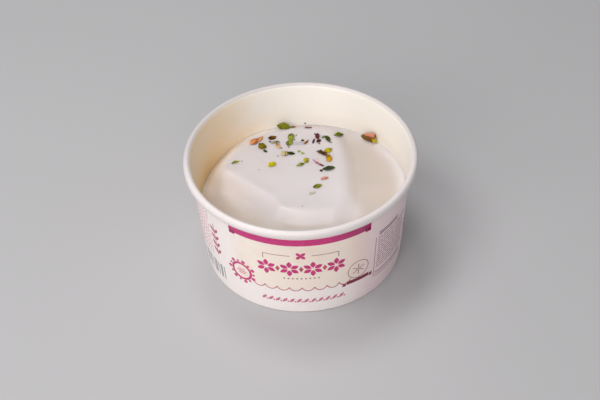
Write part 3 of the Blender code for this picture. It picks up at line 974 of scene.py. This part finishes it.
def shardShape(name, look, length, width, draw):
    # flat broken piece: ragged rim, rough top with steep sides, shallow keel underneath
    height = max(width * look["height"], toppings["leastHeight"])
    corners = brokenOutline(look, draw)
    shift = noiseShift(draw)
    lean = Vector(outFrom(0.0, 0.0, shards["skinSlope"], math.degrees(draw.uniform(0, 2 * math.pi))))

    def noiseHere(x, y, scale, z=0.0):
        return noise.noise(Vector((x, y, z)) * scale + shift)

    def place(step, share, under):
        at = step / shards["around"] * len(corners)
        first = int(at)
        spot = corners[first].lerp(corners[(first + 1) % len(corners)], at - first)
        ragged = noiseHere(spot.x * length, spot.y * width, shards["raggedScale"])
        spot = spot * share * (1 + shards["raggedness"] * ragged * share)
        x, y = spot.x * length, spot.y * width
        bumps = noiseHere(x, y, shards["bumpScale"])
        bumps += shards["fineBumps"] * noiseHere(x, y, shards["fineBumpScale"])
        if under:
            z = -height / 2 * (1 - share)
            bumps *= shards["underBumps"]
        else:
            z = height / 2 * min(1.0, (1 - share) / (1 - look["top"])) ** shards["roundness"]
        z += bumps * look["rough"] * height
        z += look["fold"] * width * 2 * math.hypot(spot.y, shards["foldRounding"])
        # dark skin on one side, and a little more at the rim: partly skin, partly painted edge shade
        skin = 0.5 + spot.dot(lean) + shards["rimSkinShade"] * share ** 8
        return (x, y, z), skin + shards["skinPatches"] * noiseHere(x, y, shards["skinScale"], 0.9 * mm)

    rings = [((ring + 1) / shards["topRings"], False) for ring in range(shards["topRings"])]
    rings += [(share, True) for share in shards["underRings"]]
    spots = [place(0, 0.0, False)]
    for share, under in rings:
        spots += [place(step, share, under) for step in range(shards["around"])]
    spots.append(place(0, 0.0, True))
    faces = ringedFaces(len(rings), shards["around"], len(shards["underRings"]))
    obj = meshObject(name, [spot for spot, skin in spots], (), faces)
    keepOnPoints(obj, "skinShare", [skin for spot, skin in spots])
    return obj


spindles = {
    "sides": 20,
    "stations": 36,
    "knobScale": 1300,
    "endRings": (0.9, 0.6, 0.3),  # shares of a cut end, inward
    "endRelief": 0.1,
}


def spindleShape(name, look, length, width, height, draw, sides, stations):
    # body along X that narrows to a point at the left, and to the right or is cut off there
    cutOff = look["span"] < 1.0
    shift = noiseShift(draw)
    rows = [(0.0, 0.0)]
    for station in range(1, stations + 1 if cutOff else stations):
        share = station / stations
        rows.append((share, math.sin(math.pi * share * look["span"]) ** look["blunt"]))
    if cutOff:
        rows += [(1.0, rows[-1][1] * inner) for inner in spindles["endRings"]]
    rows.append((1.0, 0.0))
    points, shares = [], []
    for index, (share, full) in enumerate(rows):
        for side in range(1 if index in (0, len(rows) - 1) else sides):
            angle = 2 * math.pi * side / sides
            y = width / 2 * full * math.cos(angle)
            z = height / 2 * full * math.sin(angle)
            knob = noise.noise(Vector((share * length, y, z)) * spindles["knobScale"] + shift)
            knob *= look["rough"] * full
            y = y * (1 + knob) + look["arc"] * length * (2 * share - 1) ** 2
            z = z * (1 + knob) + look["bend"] * length * (2 * share - 1) ** 2
            relief = spindles["endRelief"] * knob if share == 1.0 else 0.0
            points.append(((share - 0.5 + relief) * length, y, z))
            shares.append(share)
    faces = [(face[0], *face[:0:-1]) for face in ringedFaces(len(rows) - 2, sides)]
    obj = meshObject(name, points, (), faces)
    keepOnPoints(obj, "skinShare", shares)
    return obj


def buildScatterTree():
    # lays each shape on its own place, turned as the place says
    inputs = {"Geometry": "places", "Collection": "shapes", "Material": "finish"}
    tree, take, result = newShaping("layToppings", inputs)
    source = {"Collection": take["shapes"], "Separate Children": True, "Reset Children": True}
    shapes = outOf(tree, "GeometryNodeCollectionInfo", source)
    turn = outOf(tree, "GeometryNodeInputNamedAttribute", {"Name": "turn"}, "Attribute",
                 data_type="FLOAT_VECTOR")
    copies = outOf(tree, "GeometryNodeInstanceOnPoints", {
        "Points": take["places"],
        "Instance": shapes,
        "Pick Instance": True,
        "Instance Index": outOf(tree, "GeometryNodeInputIndex"),
        "Rotation": outOf(tree, "FunctionNodeEulerToRotation", {0: turn}),
    })
    return endTree(tree, result, copies, take["finish"])


def slopeTurn(x, y):
    # small turn that lays a thing along the surface at a place
    reach = 1.5 * mm
    rise = float(levelAt(x + reach, y) - levelAt(x - reach, y)) / 2 / reach
    climb = float(levelAt(x, y + reach) - levelAt(x, y - reach)) / 2 / reach
    up = Vector((-rise, -climb, 1.0)).normalized()
    return Vector((0, 0, 1)).rotation_difference(up).to_matrix()


def layOne(kind, row, number, draw):
    # shape of one topping, where it lies, how it is turned, and its tint
    x, y, length, width = [value * mm for value in row[:4]]
    turn, lift, tint = row[4:]
    look = topShapes[kind]
    shapeDraw = random.Random(toppings["shapeSeed"] + number)
    height = max(width * look["height"], toppings["leastHeight"])
    if kind == "stalk":
        counts = (spindles["sides"], spindles["stations"])
        shape = spindleShape("stalkShape", look, length, width, height, shapeDraw, *counts)
    else:
        shape = shardShape(f"{kind}Shape{number:03d}", look, length, width, shapeDraw)
    raised = toppings["liftShare"] * width * math.sin(math.radians(lift))
    level = float(levelAt(x, y)) + smearAt(x, y)
    spot = (x, y, level + height * (0.5 - toppings["sunkShare"]) + raised)
    tilt = [math.radians(draw.uniform(-1, 1) * toppings["tilt"]) for axis in range(2)]
    tilt[0] += math.radians(lift)
    lie = Euler((*tilt, math.radians(turn))).to_matrix()
    if lift == 0:
        lie = slopeTurn(x, y) @ lie
    return shape, spot, lie.to_euler(), tint


def layKind(kind, draw):
    laid = []
    for number, row in enumerate(toppings["laid"]):
        if row[0] == kind:
            laid.append(layOne(kind, row[1:], number, draw))
    if kind == "crumb":
        for number, (x, y, size, tint) in enumerate(toppings["specks"]):
            row = (x, y, size, toppings["speckWidth"] * size, draw.uniform(0, 360), 0, tint)
            shape, spot, turn, tint = layOne(kind, row, toppings["speckSeed"] + number, draw)
            laid.append((shape, (spot[0], spot[1], spot[2] - toppings["speckSink"]), turn, tint))
        x, height, size, tint = toppings["onWall"]
        shape = layOne(kind, (0, 0, size, size, 0, 0, tint), toppings["wallSpeckSeed"], draw)[0]
        y = math.sqrt(wallInside(height * mm) ** 2 - (x * mm) ** 2)
        lean = Euler((math.radians(toppings["wallSpeckLean"]), 0, 0))
        laid.append((shape, (x * mm, y, height * mm), lean, tint))
    return laid


def makeToppings(kind, tree, finish):
    laid = layKind(kind, random.Random(toppings["seed"] + len(kind)))
    shapes = bpy.data.collections.new(kind + "Shapes")
    bpy.context.scene.collection.children.link(shapes)
    for shape, spot, turn, tint in laid:
        bpy.context.scene.collection.objects.unlink(shape)
        shapes.objects.link(shape)
    obj = meshObject(kind + "Toppings", [spot for shape, spot, turn, tint in laid])
    keepOnPoints(obj, "turn", [list(turn) for shape, spot, turn, tint in laid], "FLOAT_VECTOR", "vector")
    for index, name in enumerate(("face", "skin", "fleck")):
        tints = [fromSrgb(*topTints[tint][index]) for shape, spot, turn, tint in laid]
        keepOnPoints(obj, name, tints, "FLOAT_COLOR", "color")
    runTree(obj, tree, {"shapes": shapes, "finish": finish})
    for shape, spot, turn, tint in laid:
        bpy.data.objects.remove(shape)
    bpy.data.collections.remove(shapes)
    finishPiece(obj, 45)


leaningNut = {
    "shape": {"blunt": 0.6, "span": 0.62, "bend": 0.0, "arc": 0.0, "rough": 0.1},
    "low": (26.4, 31.2, 31.9),  # its two ends, in mm
    "high": (32.4, 27.2, 33.6),
    "width": 2.0 * mm,
    "height": 4.7 * mm,
    "sides": 40,
    "stations": 48,
    "tints": ((100, 92, 6), (116, 66, 6), (200, 182, 18), (204, 132, 104), (160, 150, 16)),
    # where each tint sets in and over what share of the length or the height
    "rustFrom": (0.28, 0.25),
    "edgeTo": (0.0, 0.14),
    "yellowFrom": (0.78, 0.12),
    "yellowBelow": (-0.25, 0.4),
    "salmonFrom": (0.2, 0.15),
    "salmonAbove": (0.35, 0.3),
    "streaks": (0.5, 2.4, 2.4),  # scale of the streaks along it, across it and up it
    "flecks": (1.0, 0.9, 0.8, 1.0),
    "fleckShare": 0.55,
    "skinShade": (0.5, 0.5, 0.5, 1.0),
    "skinShare": 0.1,
}


def leaningTint(share, up, streak):
    # olive tip with a paler edge, rust middle, yellow cut end, and a salmon band along the top
    look = leaningNut
    olive, rust, yellow, salmon, edge = [Vector(fromSrgb(*tint)) for tint in look["tints"]]
    tint = olive.lerp(rust, float(rise(share + 0.2 * streak, *look["rustFrom"])))
    tint = edge.lerp(tint, float(rise(share + 0.15 * up, *look["edgeTo"])))
    lowEnd = rise(share + 0.1 * streak, *look["yellowFrom"]) * rise(-up, *look["yellowBelow"])
    onTop = rise(up - 0.25 * streak, *look["salmonAbove"]) * rise(share, *look["salmonFrom"])
    return tint.lerp(yellow, float(lowEnd)).lerp(salmon, float(onTop))


def makeLeaningNut(finish):
    # half kernel with its cut end on the wall
    look = leaningNut
    low, high = Vector(look["low"]) * mm, Vector(look["high"]) * mm
    way = (high - low).normalized()
    across = Vector((0, 0, 1)).cross(way).normalized()
    turn = Matrix((way, across, way.cross(across))).transposed().to_4x4()
    draw = random.Random(toppings["seed"])
    length, height = (high - low).length, look["height"]
    size = (length, look["width"], height)
    obj = spindleShape("leaningNut", look["shape"], *size, draw, look["sides"], look["stations"])
    tints = []
    for vert in obj.data.vertices:
        streak = noise.noise(Vector([part / mm * scale for part, scale in zip(vert.co, look["streaks"])]))
        tints.append(leaningTint(vert.co.x / length + 0.5, 2 * vert.co.z / height, streak))
    skins = np.array(tints) * look["skinShade"]
    flecks = [tint.lerp(Vector(look["flecks"]), look["fleckShare"]) for tint in tints]
    for name, values in (("face", tints), ("skin", skins), ("fleck", flecks)):
        keepOnPoints(obj, name, values, "FLOAT_COLOR", "color")
    skinShares = [look["skinShare"]] * len(tints)
    obj.data.attributes["skinShare"].data.foreach_set("value", skinShares)
    obj.data.transform(Matrix.Translation((low + high) / 2) @ turn)
    obj.data.materials.append(finish)
    finishPiece(obj, 50)


toppingLook = {
    "scales": (1000.0, 3000.0),  # of the patches and the wrinkles
    "patchShare": 0.45,
    "skinFrom": (0.55, 0.95),
    "fleckShare": 0.8,
    "shade": (0.5, 1.1, 0.8, 1.15, False),
    "rough": (0.0, 1.0, 0.42, 0.68, False),
    "bump": (0.5, 0.12 * mm),
    "shader": {"Subsurface Weight": 0.1, "Subsurface Scale": 0.5 * mm, "Specular IOR Level": 0.12},
}


def makeToppingMaterial():
    look = toppingLook
    material, tree = newMaterial("choppedToppings")
    dried = useGroup(tree, driedSkin, *look["scales"])
    face, skin, fleck = [ownValue(tree, name, "Color") for name in ("face", "skin", "fleck")]
    covered = dried["patch"] * look["patchShare"] + ownValue(tree, "skinShare")
    colour = covered.remap(*look["skinFrom"]).blend(face, skin)
    colour = (dried["fleck"] * look["fleckShare"]).blend(colour, fleck)
    colour = colour.tint(dried["height"].remap(*look["shade"]))
    return finishMaterial(material, look, colour, dried["patch"].remap(*look["rough"]), dried["height"])


# Print: flat motifs drawn in mm along the wall and up it, wrapped on it as thin films of ink

inkTints = {
    "magenta": fromSrgb(194, 40, 116),
    "wine": fromSrgb(140, 20, 62),
    "rose": fromSrgb(176, 80, 102),
    "dustyRose": fromSrgb(196, 108, 134),
    "brown": fromSrgb(152, 108, 110),
    "plum": fromSrgb(148, 84, 112),
    "palePink": fromSrgb(204, 84, 122),
    "grey": fromSrgb(140, 144, 148),
}
inkLook = {
    "scales": (1500.0, 220.0),  # of the fibres and the mottle under it
    "worn": (0.5, 0.85, 0.0, 0.14),
    "mottleShade": (0.93, 1.04),
    "rough": (0.36, 0.46),
    "bump": (0.2, 0.1 * mm),
    "shader": {"Coat Weight": 0.1},
    "inkShadeToRight": (8.0, 27.0, 1.12, 0.8),  # painted light on the left and painted shade toward the right, fading from place to place in mm
}


def makeInk(name, tint):
    look = inkLook
    material, tree = newMaterial(name + "Ink")
    x, y, z = partsOf(objectPlace(tree))
    grain = useGroup(tree, boardGrain, *look["scales"])
    ink = grain["fibre"].remap(*look["worn"]).blend(tint, boardLook["creamField"])
    # painted light on the left and painted shade on the right of the inks
    colour = ink.tint(grain["mottle"].spread(*look["mottleShade"]) * x.fade(*look["inkShadeToRight"]))
    return finishMaterial(material, look, colour, grain["fibre"].spread(*look["rough"]), grain["height"])


def buildPrintTree():
    # repeats a motif along a step and over the panels, thickens it and bends it round the tub
    tree, take, result = newShaping("printOnWall", {
        "Geometry": "motif",
        "Int": "count panels",
        "Vector": "step panelStep",
        "Float": "footRadius taper wrapRadius film sunk",
        "Material": "ink",
    })
    flat = take["motif"]
    for count, step in (("count", "step"), ("panels", "panelStep")):
        line = outOf(tree, "GeometryNodeMeshLine", {"Count": take[count], "Offset": take[step]})
        copies = outOf(tree, "GeometryNodeInstanceOnPoints", {"Points": line, "Instance": flat})
        flat = outOf(tree, "GeometryNodeRealizeInstances", {"Geometry": copies})
    inward = {"Geometry": flat, "Offset": combine(tree, 0.0, take["sunk"], 0.0)}
    sunk = outOf(tree, "GeometryNodeSetPosition", inward)
    outward = combine(tree, 0.0, (take["film"] + take["sunk"]) * -1.0, 0.0)
    thicken = {"Mesh": sunk, "Offset": outward, "Individual": False}
    both = addNode(tree, "GeometryNodeJoinGeometry")
    plug(both.inputs[0], outOf(tree, "GeometryNodeExtrudeMesh", thicken))
    plug(both.inputs[0], outOf(tree, "GeometryNodeFlipFaces", {"Mesh": sunk}))
    welded = {"Geometry": Value(tree, both.outputs[0]), "Distance": 0.002 * mm}
    closed = outOf(tree, "GeometryNodeMergeByDistance", welded)
    along, y, z = partsOf(outOf(tree, "GeometryNodeInputPosition"))
    radius = z * take["taper"] + take["footRadius"] - y
    angle = along / take["wrapRadius"]
    bent = combine(tree, radius * angle.calc("SINE"), radius * angle.calc("COSINE") * -1.0, z)
    wrapped = outOf(tree, "GeometryNodeSetPosition", {"Geometry": closed, "Position": bent})
    return endTree(tree, result, wrapped, take["ink"])


def alongWall(degrees):
    # mm along the wall from the front
    return math.radians(degrees) * printLayout["wrapRadius"] / mm


panelMiddle = alongWall(printLayout["centres"][0])


def sidesOf(look):
    return alongWall(look["left"]), alongWall(look["right"])


def firstOf(row):
    # where a row of copies starts, for its middle to be the panel's
    return panelMiddle - row["pitch"] * (row["count"] - 1) / 2


def bar(left, right, low, high):
    return [(left, low), (right, low), (right, high), (left, high)]


def disc(x, y, radius, steps=20):
    return [outFrom(x, y, radius, 360 * step / steps) for step in range(steps)]


def ring(x, y, inner, outer, steps=48):
    inside = disc(x, y, inner, steps)
    outside = disc(x, y, outer, steps)
    return [[inside[step - 1], outside[step - 1], outside[step], inside[step]] for step in range(steps)]


def diamond(x, y, width, height):
    return [(x - width / 2, y), (x, y - height / 2), (x + width / 2, y), (x, y + height / 2)]


def petal(x, y, length, width, turn, steps=8, fullness=0.9):
    # pointed oval that starts at a place and lies along a turn
    points = []
    for sign, order in ((-1, range(steps + 1)), (1, range(steps - 1, 0, -1))):
        for step in order:
            out = sign * width / 2 * math.sin(math.pi * step / steps) ** fullness
            points.append(outFrom(*outFrom(x, y, length * step / steps, turn), out, turn + 90))
    return points


def stroke(points, width):
    # quads along a path
    sides = []
    for index, (x, y) in enumerate(points):
        before = points[max(index - 1, 0)]
        after = points[min(index + 1, len(points) - 1)]
        size = math.hypot(after[0] - before[0], after[1] - before[1])
        right = ((after[1] - before[1]) / size * width / 2, (before[0] - after[0]) / size * width / 2)
        sides.append(((x + right[0], y + right[1]), (x - right[0], y - right[1])))
    return [[near[0], far[0], far[1], near[1]] for near, far in zip(sides, sides[1:])]


def hangingArc(x, y, width, depth, steps=12):
    points = []
    for step in range(steps + 1):
        share = step / steps
        dip = (1 - (2 * share - 1) ** 2) ** printLayout["scallopPower"]
        points.append((x + width * share, y - depth * dip))
    return points


dashLook = {"least": 0.7, "startWithin": 0.4, "stopBefore": 0.8, "gapShare": (0.8, 1.2)}


def dashes(look, level, draw):
    # one row of short bars of random length
    left, right = sidesOf(look)
    shapes = []
    x = left + draw.uniform(0, dashLook["startWithin"])
    while x < right - dashLook["stopBefore"]:
        length = min(draw.uniform(dashLook["least"], look["longest"]), right - x)
        shapes.append(bar(x, x + length, level, level + look["height"]))
        x += length + look["gap"] * draw.uniform(*dashLook["gapShare"])
    return shapes


def flatMotif(name, shapes):
    data = bmesh.new()
    for shape in shapes:
        data.faces.new([data.verts.new((x * mm, 0.0, y * mm)) for x, y in shape])
    bmesh.ops.remove_doubles(data, verts=data.verts, dist=0.003 * mm)
    sides = [vert.co.x / mm for vert in data.verts]
    step = printLayout["cutEvery"]
    for cut in range(math.ceil(min(sides) / step), math.floor(max(sides) / step) + 1):
        parts = data.verts[:] + data.edges[:] + data.faces[:]
        place = (cut * step * mm, 0.0, 0.0)
        bmesh.ops.bisect_plane(data, geom=parts, plane_co=place, plane_no=(1, 0, 0), dist=1e-7)
    for face in data.faces:
        face.normal_update()
        if face.normal.y > 0:
            face.normal_flip()
    bmesh.ops.triangulate(data, faces=data.faces)
    mesh = bpy.data.meshes.new(name)
    data.to_mesh(mesh)
    data.free()
    return addObject(name, mesh)


def printPiece(name, shapes, ink, count=1, pitch=0.0, everyPanel=True):
    obj = flatMotif(name, shapes)
    panels = printLayout["centres"]
    apart = alongWall(panels[1] - panels[0]) * mm
    runTree(obj, printTree, {
        **printLayout,
        "count": count,
        "step": (pitch * mm, 0.0, 0.0),
        "panels": len(panels) if everyPanel else 1,
        "panelStep": (apart, 0.0, 0.0),
        "footRadius": tub["footRadius"],
        "taper": wallTaper,
        "ink": inks[ink],
    })
    finishPiece(obj, 30)


band = {"left": -41.0, "right": 36.5, "low": 40.8, "high": 44.4, "foot": 2.6, "drop": 0.9}


def printBand():
    left, right = sidesOf(band)
    low = band["low"]
    shapes = [bar(left, right, low, band["high"])]
    for start in (left, right - band["foot"]):
        shapes.append(bar(start, start + band["foot"], low - band["drop"], low))
    printPiece("printBand", shapes, "magenta")


rule = {"height": 34.9, "drop": 3.0, "inner": 4.2, "outer": 15.0, "width": 0.32}


def printRules():
    half = rule["width"] / 2
    height = rule["height"]
    shapes = []
    for side in (-1, 1):
        post = panelMiddle + side * rule["outer"]
        ends = sorted((panelMiddle + side * rule["inner"], post))
        shapes.append(bar(*ends, height - half, height + half))
        shapes.append(bar(post - half, post + half, height - rule["drop"], height - half))
    printPiece("printRules", shapes, "brown")


crest = {"petal": 2.6, "width": 1.5}


def printCrest():
    size = (crest["petal"], crest["width"])
    shapes = [petal(panelMiddle, rule["height"], *size, turn) for turn in (45, 135, 225, 315)]
    printPiece("printCrest", shapes, "magenta")


flowers = {"height": 27.0, "pitch": 9.4, "count": 4, "petals": 6, "turn": 30, "start": 0.7, "petal": 3.6,
           "width": 2.1}
diamonds = {"width": 1.9, "height": 3.4}


def printFlowers():
    first, height, pitch = firstOf(flowers), flowers["height"], flowers["pitch"]
    shapes = []
    for index in range(flowers["petals"]):
        turn = 360 / flowers["petals"] * index + flowers["turn"]
        start = outFrom(first, height, flowers["start"], turn)
        shapes.append(petal(*start, flowers["petal"], flowers["width"], turn))
    printPiece("printFlowers", shapes, "magenta", flowers["count"], pitch)
    shapes = [diamond(first + pitch / 2, height, diamonds["width"], diamonds["height"])]
    printPiece("printDiamonds", shapes, "rose", flowers["count"] - 1, pitch)


beads = {"height": 21.3, "pitch": 1.75, "count": 9, "size": 0.42}


def printBeads():
    shapes = [disc(firstOf(beads), beads["height"], beads["size"], 10)]
    printPiece("printBeads", shapes, "brown", beads["count"], beads["pitch"])


scallops = {"width": 0.42}


def printScallops():
    pitch = printLayout["scallopPitch"] / mm
    start = panelMiddle - pitch * printLayout["scallops"] / 2
    path = hangingArc(start, printLayout["scallopTop"] / mm, pitch, printLayout["scallopDepth"] / mm)
    printPiece("printScallops", stroke(path, scallops["width"]), "rose", printLayout["scallops"], pitch)


sprigs = {"low": 6.3, "pitch": 3.0, "count": 12, "back": 0.9, "leaf": 3.3, "width": 1.35, "turn": 50,
          "berry": 0.46, "berryRise": 0.5}


def printSprigs():
    start, low = firstOf(sprigs), sprigs["low"]
    shapes = [petal(start - sprigs["back"], low, sprigs["leaf"], sprigs["width"], sprigs["turn"])]
    shapes.append(disc(start + sprigs["pitch"] / 2, low + sprigs["berryRise"], sprigs["berry"], 8))
    printPiece("printSprigs", shapes, "dustyRose", sprigs["count"], sprigs["pitch"])


leftSeal = {
    "turn": -36.5,
    "height": 18.6,
    "inner": 3.9,
    "outer": 5.0,
    "beads": 14,
    "bead": 0.6,
    "swell": 0.3,
    "apart": 0.1,
    "bars": ((1.6, 0.9), (2.4, -0.2), (1.6, -1.3)),  # half length and height from the middle
    "line": 0.35,
}


def printLeftSeal():
    x, y = alongWall(leftSeal["turn"]), leftSeal["height"]
    shapes = ring(x, y, leftSeal["inner"], leftSeal["outer"])
    for index in range(leftSeal["beads"]):
        size = leftSeal["bead"] + leftSeal["swell"] * (index % 2)
        reach = leftSeal["outer"] + size + leftSeal["apart"]
        middle = outFrom(x, y, reach, 360 * index / leftSeal["beads"])
        shapes.append(disc(*middle, size, 12))
    for half, level in leftSeal["bars"]:
        shapes.append(bar(x - half, x + half, y + level, y + level + leftSeal["line"]))
    printPiece("printLeftSeal", shapes, "magenta")


rightSeal = {"turn": 30.0, "height": 19.8, "inner": 4.7, "outer": 5.0, "arm": (0.36, 3.0), "line": 0.34}
ribbon = {
    "half": 5.4,
    "low": 12.6,
    "height": 2.0,
    "tail": ((5.7, -0.5), (7.6, -0.5), (6.9, 0.4), (7.6, 1.3), (5.7, 1.3)),
}


def printRightSeal():
    x, y = alongWall(rightSeal["turn"]), rightSeal["height"]
    shapes = ring(x, y, rightSeal["inner"], rightSeal["outer"])
    for turn in range(30, 390, 60):
        ends = [outFrom(x, y, reach, turn) for reach in rightSeal["arm"]]
        shapes += stroke(ends, rightSeal["line"])
    printPiece("printRightSeal", shapes, "brown")
    low = ribbon["low"]
    shapes = [bar(x - ribbon["half"], x + ribbon["half"], low, low + ribbon["height"])]
    for side in (-1, 1):
        tail = [(x + side * out, low + up) for out, up in ribbon["tail"]]
        shapes += [tail[:3], tail[2:], tail[::2]]
    printPiece("printRibbon", shapes, "wine")


notes = {
    "left": 42.5,
    "right": 69.0,
    "top": 31.6,
    "pitch": 1.33,
    "rows": 14,
    "height": 0.34,
    "longest": 3.2,
    "gap": 0.45,
    "seed": 5,
    "headings": (33.3, 34.45),
    "heading": (0.5, 13.0, 0.6),  # start, end and height
    "lines": (9.2, 10.6, 11.6),
    "linesPast": (-0.3, -1.0),  # from the two sides
    "line": 0.3,
    "post": (-1.2, -0.95, 9.2, 32.8),
}


def printNotes():
    draw = random.Random(notes["seed"])
    left, right = sidesOf(notes)
    shapes = []
    for row in range(notes["rows"]):
        shapes += dashes(notes, notes["top"] - row * notes["pitch"], draw)
    start, end, height = notes["heading"]
    for level in notes["headings"]:
        shapes.append(bar(left + start, left + end, level, level + height))
    start, end = notes["linesPast"]
    for level in notes["lines"]:
        shapes.append(bar(left + start, right + end, level, level + notes["line"]))
    start, end, low, high = notes["post"]
    shapes.append(bar(left + start, left + end, low, high))
    printPiece("printNotes", shapes, "plum", everyPanel=False)


sidePanel = {
    "left": -76.0,
    "right": -58.5,
    "low": 16.0,
    "high": 41.0,
    "pitch": 1.9,
    "height": 0.34,
    "longest": 1.7,
    "gap": 0.9,
    "seed": 8,
}
sideSprig = {"beside": 3.0, "low": 19.0, "high": 37.0, "half": 0.2, "leaves": (20.0, 24.0, 28.0, 32.0),
             "leaf": 3.6, "width": 1.5, "turns": ((0.3, 55), (-0.3, 125))}


def printSidePanel():
    draw = random.Random(sidePanel["seed"])
    shapes = []
    level = sidePanel["low"]
    while level < sidePanel["high"]:
        shapes += dashes(sidePanel, level, draw)
        level += sidePanel["pitch"]
    printPiece("printSideLines", shapes, "palePink", everyPanel=False)
    stem, half = alongWall(sidePanel["right"]) + sideSprig["beside"], sideSprig["half"]
    shapes = [bar(stem - half, stem + half, sideSprig["low"], sideSprig["high"])]
    for level in sideSprig["leaves"]:
        for out, turn in sideSprig["turns"]:
            shapes.append(petal(stem + out, level, sideSprig["leaf"], sideSprig["width"], turn))
    printPiece("printSideSprig", shapes, "rose", everyPanel=False)


stripes = {
    "left": -72.0,
    "right": -51.0,
    "low": 5.8,
    "high": 13.2,
    "widths": (0.35, 0.6, 0.6, 1.3),
    "gaps": (0.4, 0.55, 1.1),
    "seed": 2,
}


def printStripes():
    draw = random.Random(stripes["seed"])
    x, right = sidesOf(stripes)
    shapes = []
    while x < right:
        wide = draw.choice(stripes["widths"])
        shapes.append(bar(x, x + wide, stripes["low"], stripes["high"]))
        x += wide + draw.choice(stripes["gaps"])
    printPiece("printStripes", shapes, "grey", everyPanel=False)


# Studio: pale floor, soft light from the left, camera at the photo's angle

studio = {
    "floorTint": fromSrgb(189, 188, 190),
    "floorSize": 3.0,
    "floorRoughness": 0.55,
    "sky": (0.95, 0.98, 1.0, 1.0),
    "skyStrength": 0.3,
    # place, size, power and tint of each lamp
    "lamps": [
        ("leftKey", (-0.353, -0.128, 0.706), 0.3, 1.55, (1.0, 0.985, 0.97)),
        ("highKey", (-0.110, 0.191, 0.769), 0.3, 1.6, (1.0, 0.985, 0.97)),
        ("frontFill", (-0.156, -0.887, 0.631), 0.7, 3.5, (1.0, 0.975, 0.965)),
        ("lowFill", (-0.664, -0.792, 0.376), 0.7, 3.1, (1.0, 0.975, 0.965)),
    ],
    "lens": 84.0,
    "sensor": 36.0,
    "cameraPlace": (0.0, -0.43381, 0.41964),
    "cameraTurn": (0.8315333, 0.0308230, -0.0259692),  # radians about X, Y and Z
}


def makeFloor():
    half = studio["floorSize"] / 2
    corners = [(-half, -half, 0.0), (half, -half, 0.0), (half, half, 0.0), (-half, half, 0.0)]
    floor = meshObject("studioFloor", corners, (), [(0, 1, 2, 3)])
    material, tree = newMaterial("paleFloor")
    setShader(material, {"Base Color": studio["floorTint"], "Roughness": studio["floorRoughness"]})
    floor.data.materials.append(material)


def makeLight():
    for name, place, size, power, tint in studio["lamps"]:
        lamp = bpy.data.lights.new(name, "AREA")
        lamp.shape = "DISK"
        lamp.size = size
        lamp.energy = power
        lamp.color = tint
        light = addObject(name, lamp)
        light.location = place
        light.rotation_euler = (-Vector(place)).to_track_quat("-Z", "Y").to_euler()
    world = bpy.data.worlds.new("softSky")
    world.use_nodes = True
    sky = world.node_tree.nodes["Background"]
    sky.inputs["Color"].default_value = studio["sky"]
    sky.inputs["Strength"].default_value = studio["skyStrength"]
    bpy.context.scene.world = world


def makeCamera():
    lens = bpy.data.cameras.new("camera")
    lens.lens = studio["lens"]
    lens.sensor_width = studio["sensor"]
    lens.clip_start = 0.01
    camera = addObject("camera", lens)
    camera.location = studio["cameraPlace"]
    camera.rotation_euler = studio["cameraTurn"]
    bpy.context.scene.camera = camera
    bpy.context.scene.view_settings.view_transform = "Standard"


makeCamera()
makeTubWall(makeBoardMaterial())
dressBase()
makeIceCream(makeCreamMaterial())

print("laying the toppings")
toppingFinish = makeToppingMaterial()
scatterTree = buildScatterTree()
for topKind in topShapes:
    makeToppings(topKind, scatterTree, toppingFinish)
makeLeaningNut(toppingFinish)

print("printing the wall")
printTree = buildPrintTree()
inks = {inkName: makeInk(inkName, tint) for inkName, tint in inkTints.items()}
for makePrint in (printBand, printRules, printCrest, printFlowers, printBeads, printScallops, printSprigs,
                  printLeftSeal, printRightSeal, printNotes, printSidePanel, printStripes):
    makePrint()

print("setting up the studio")
makeFloor()
makeLight()
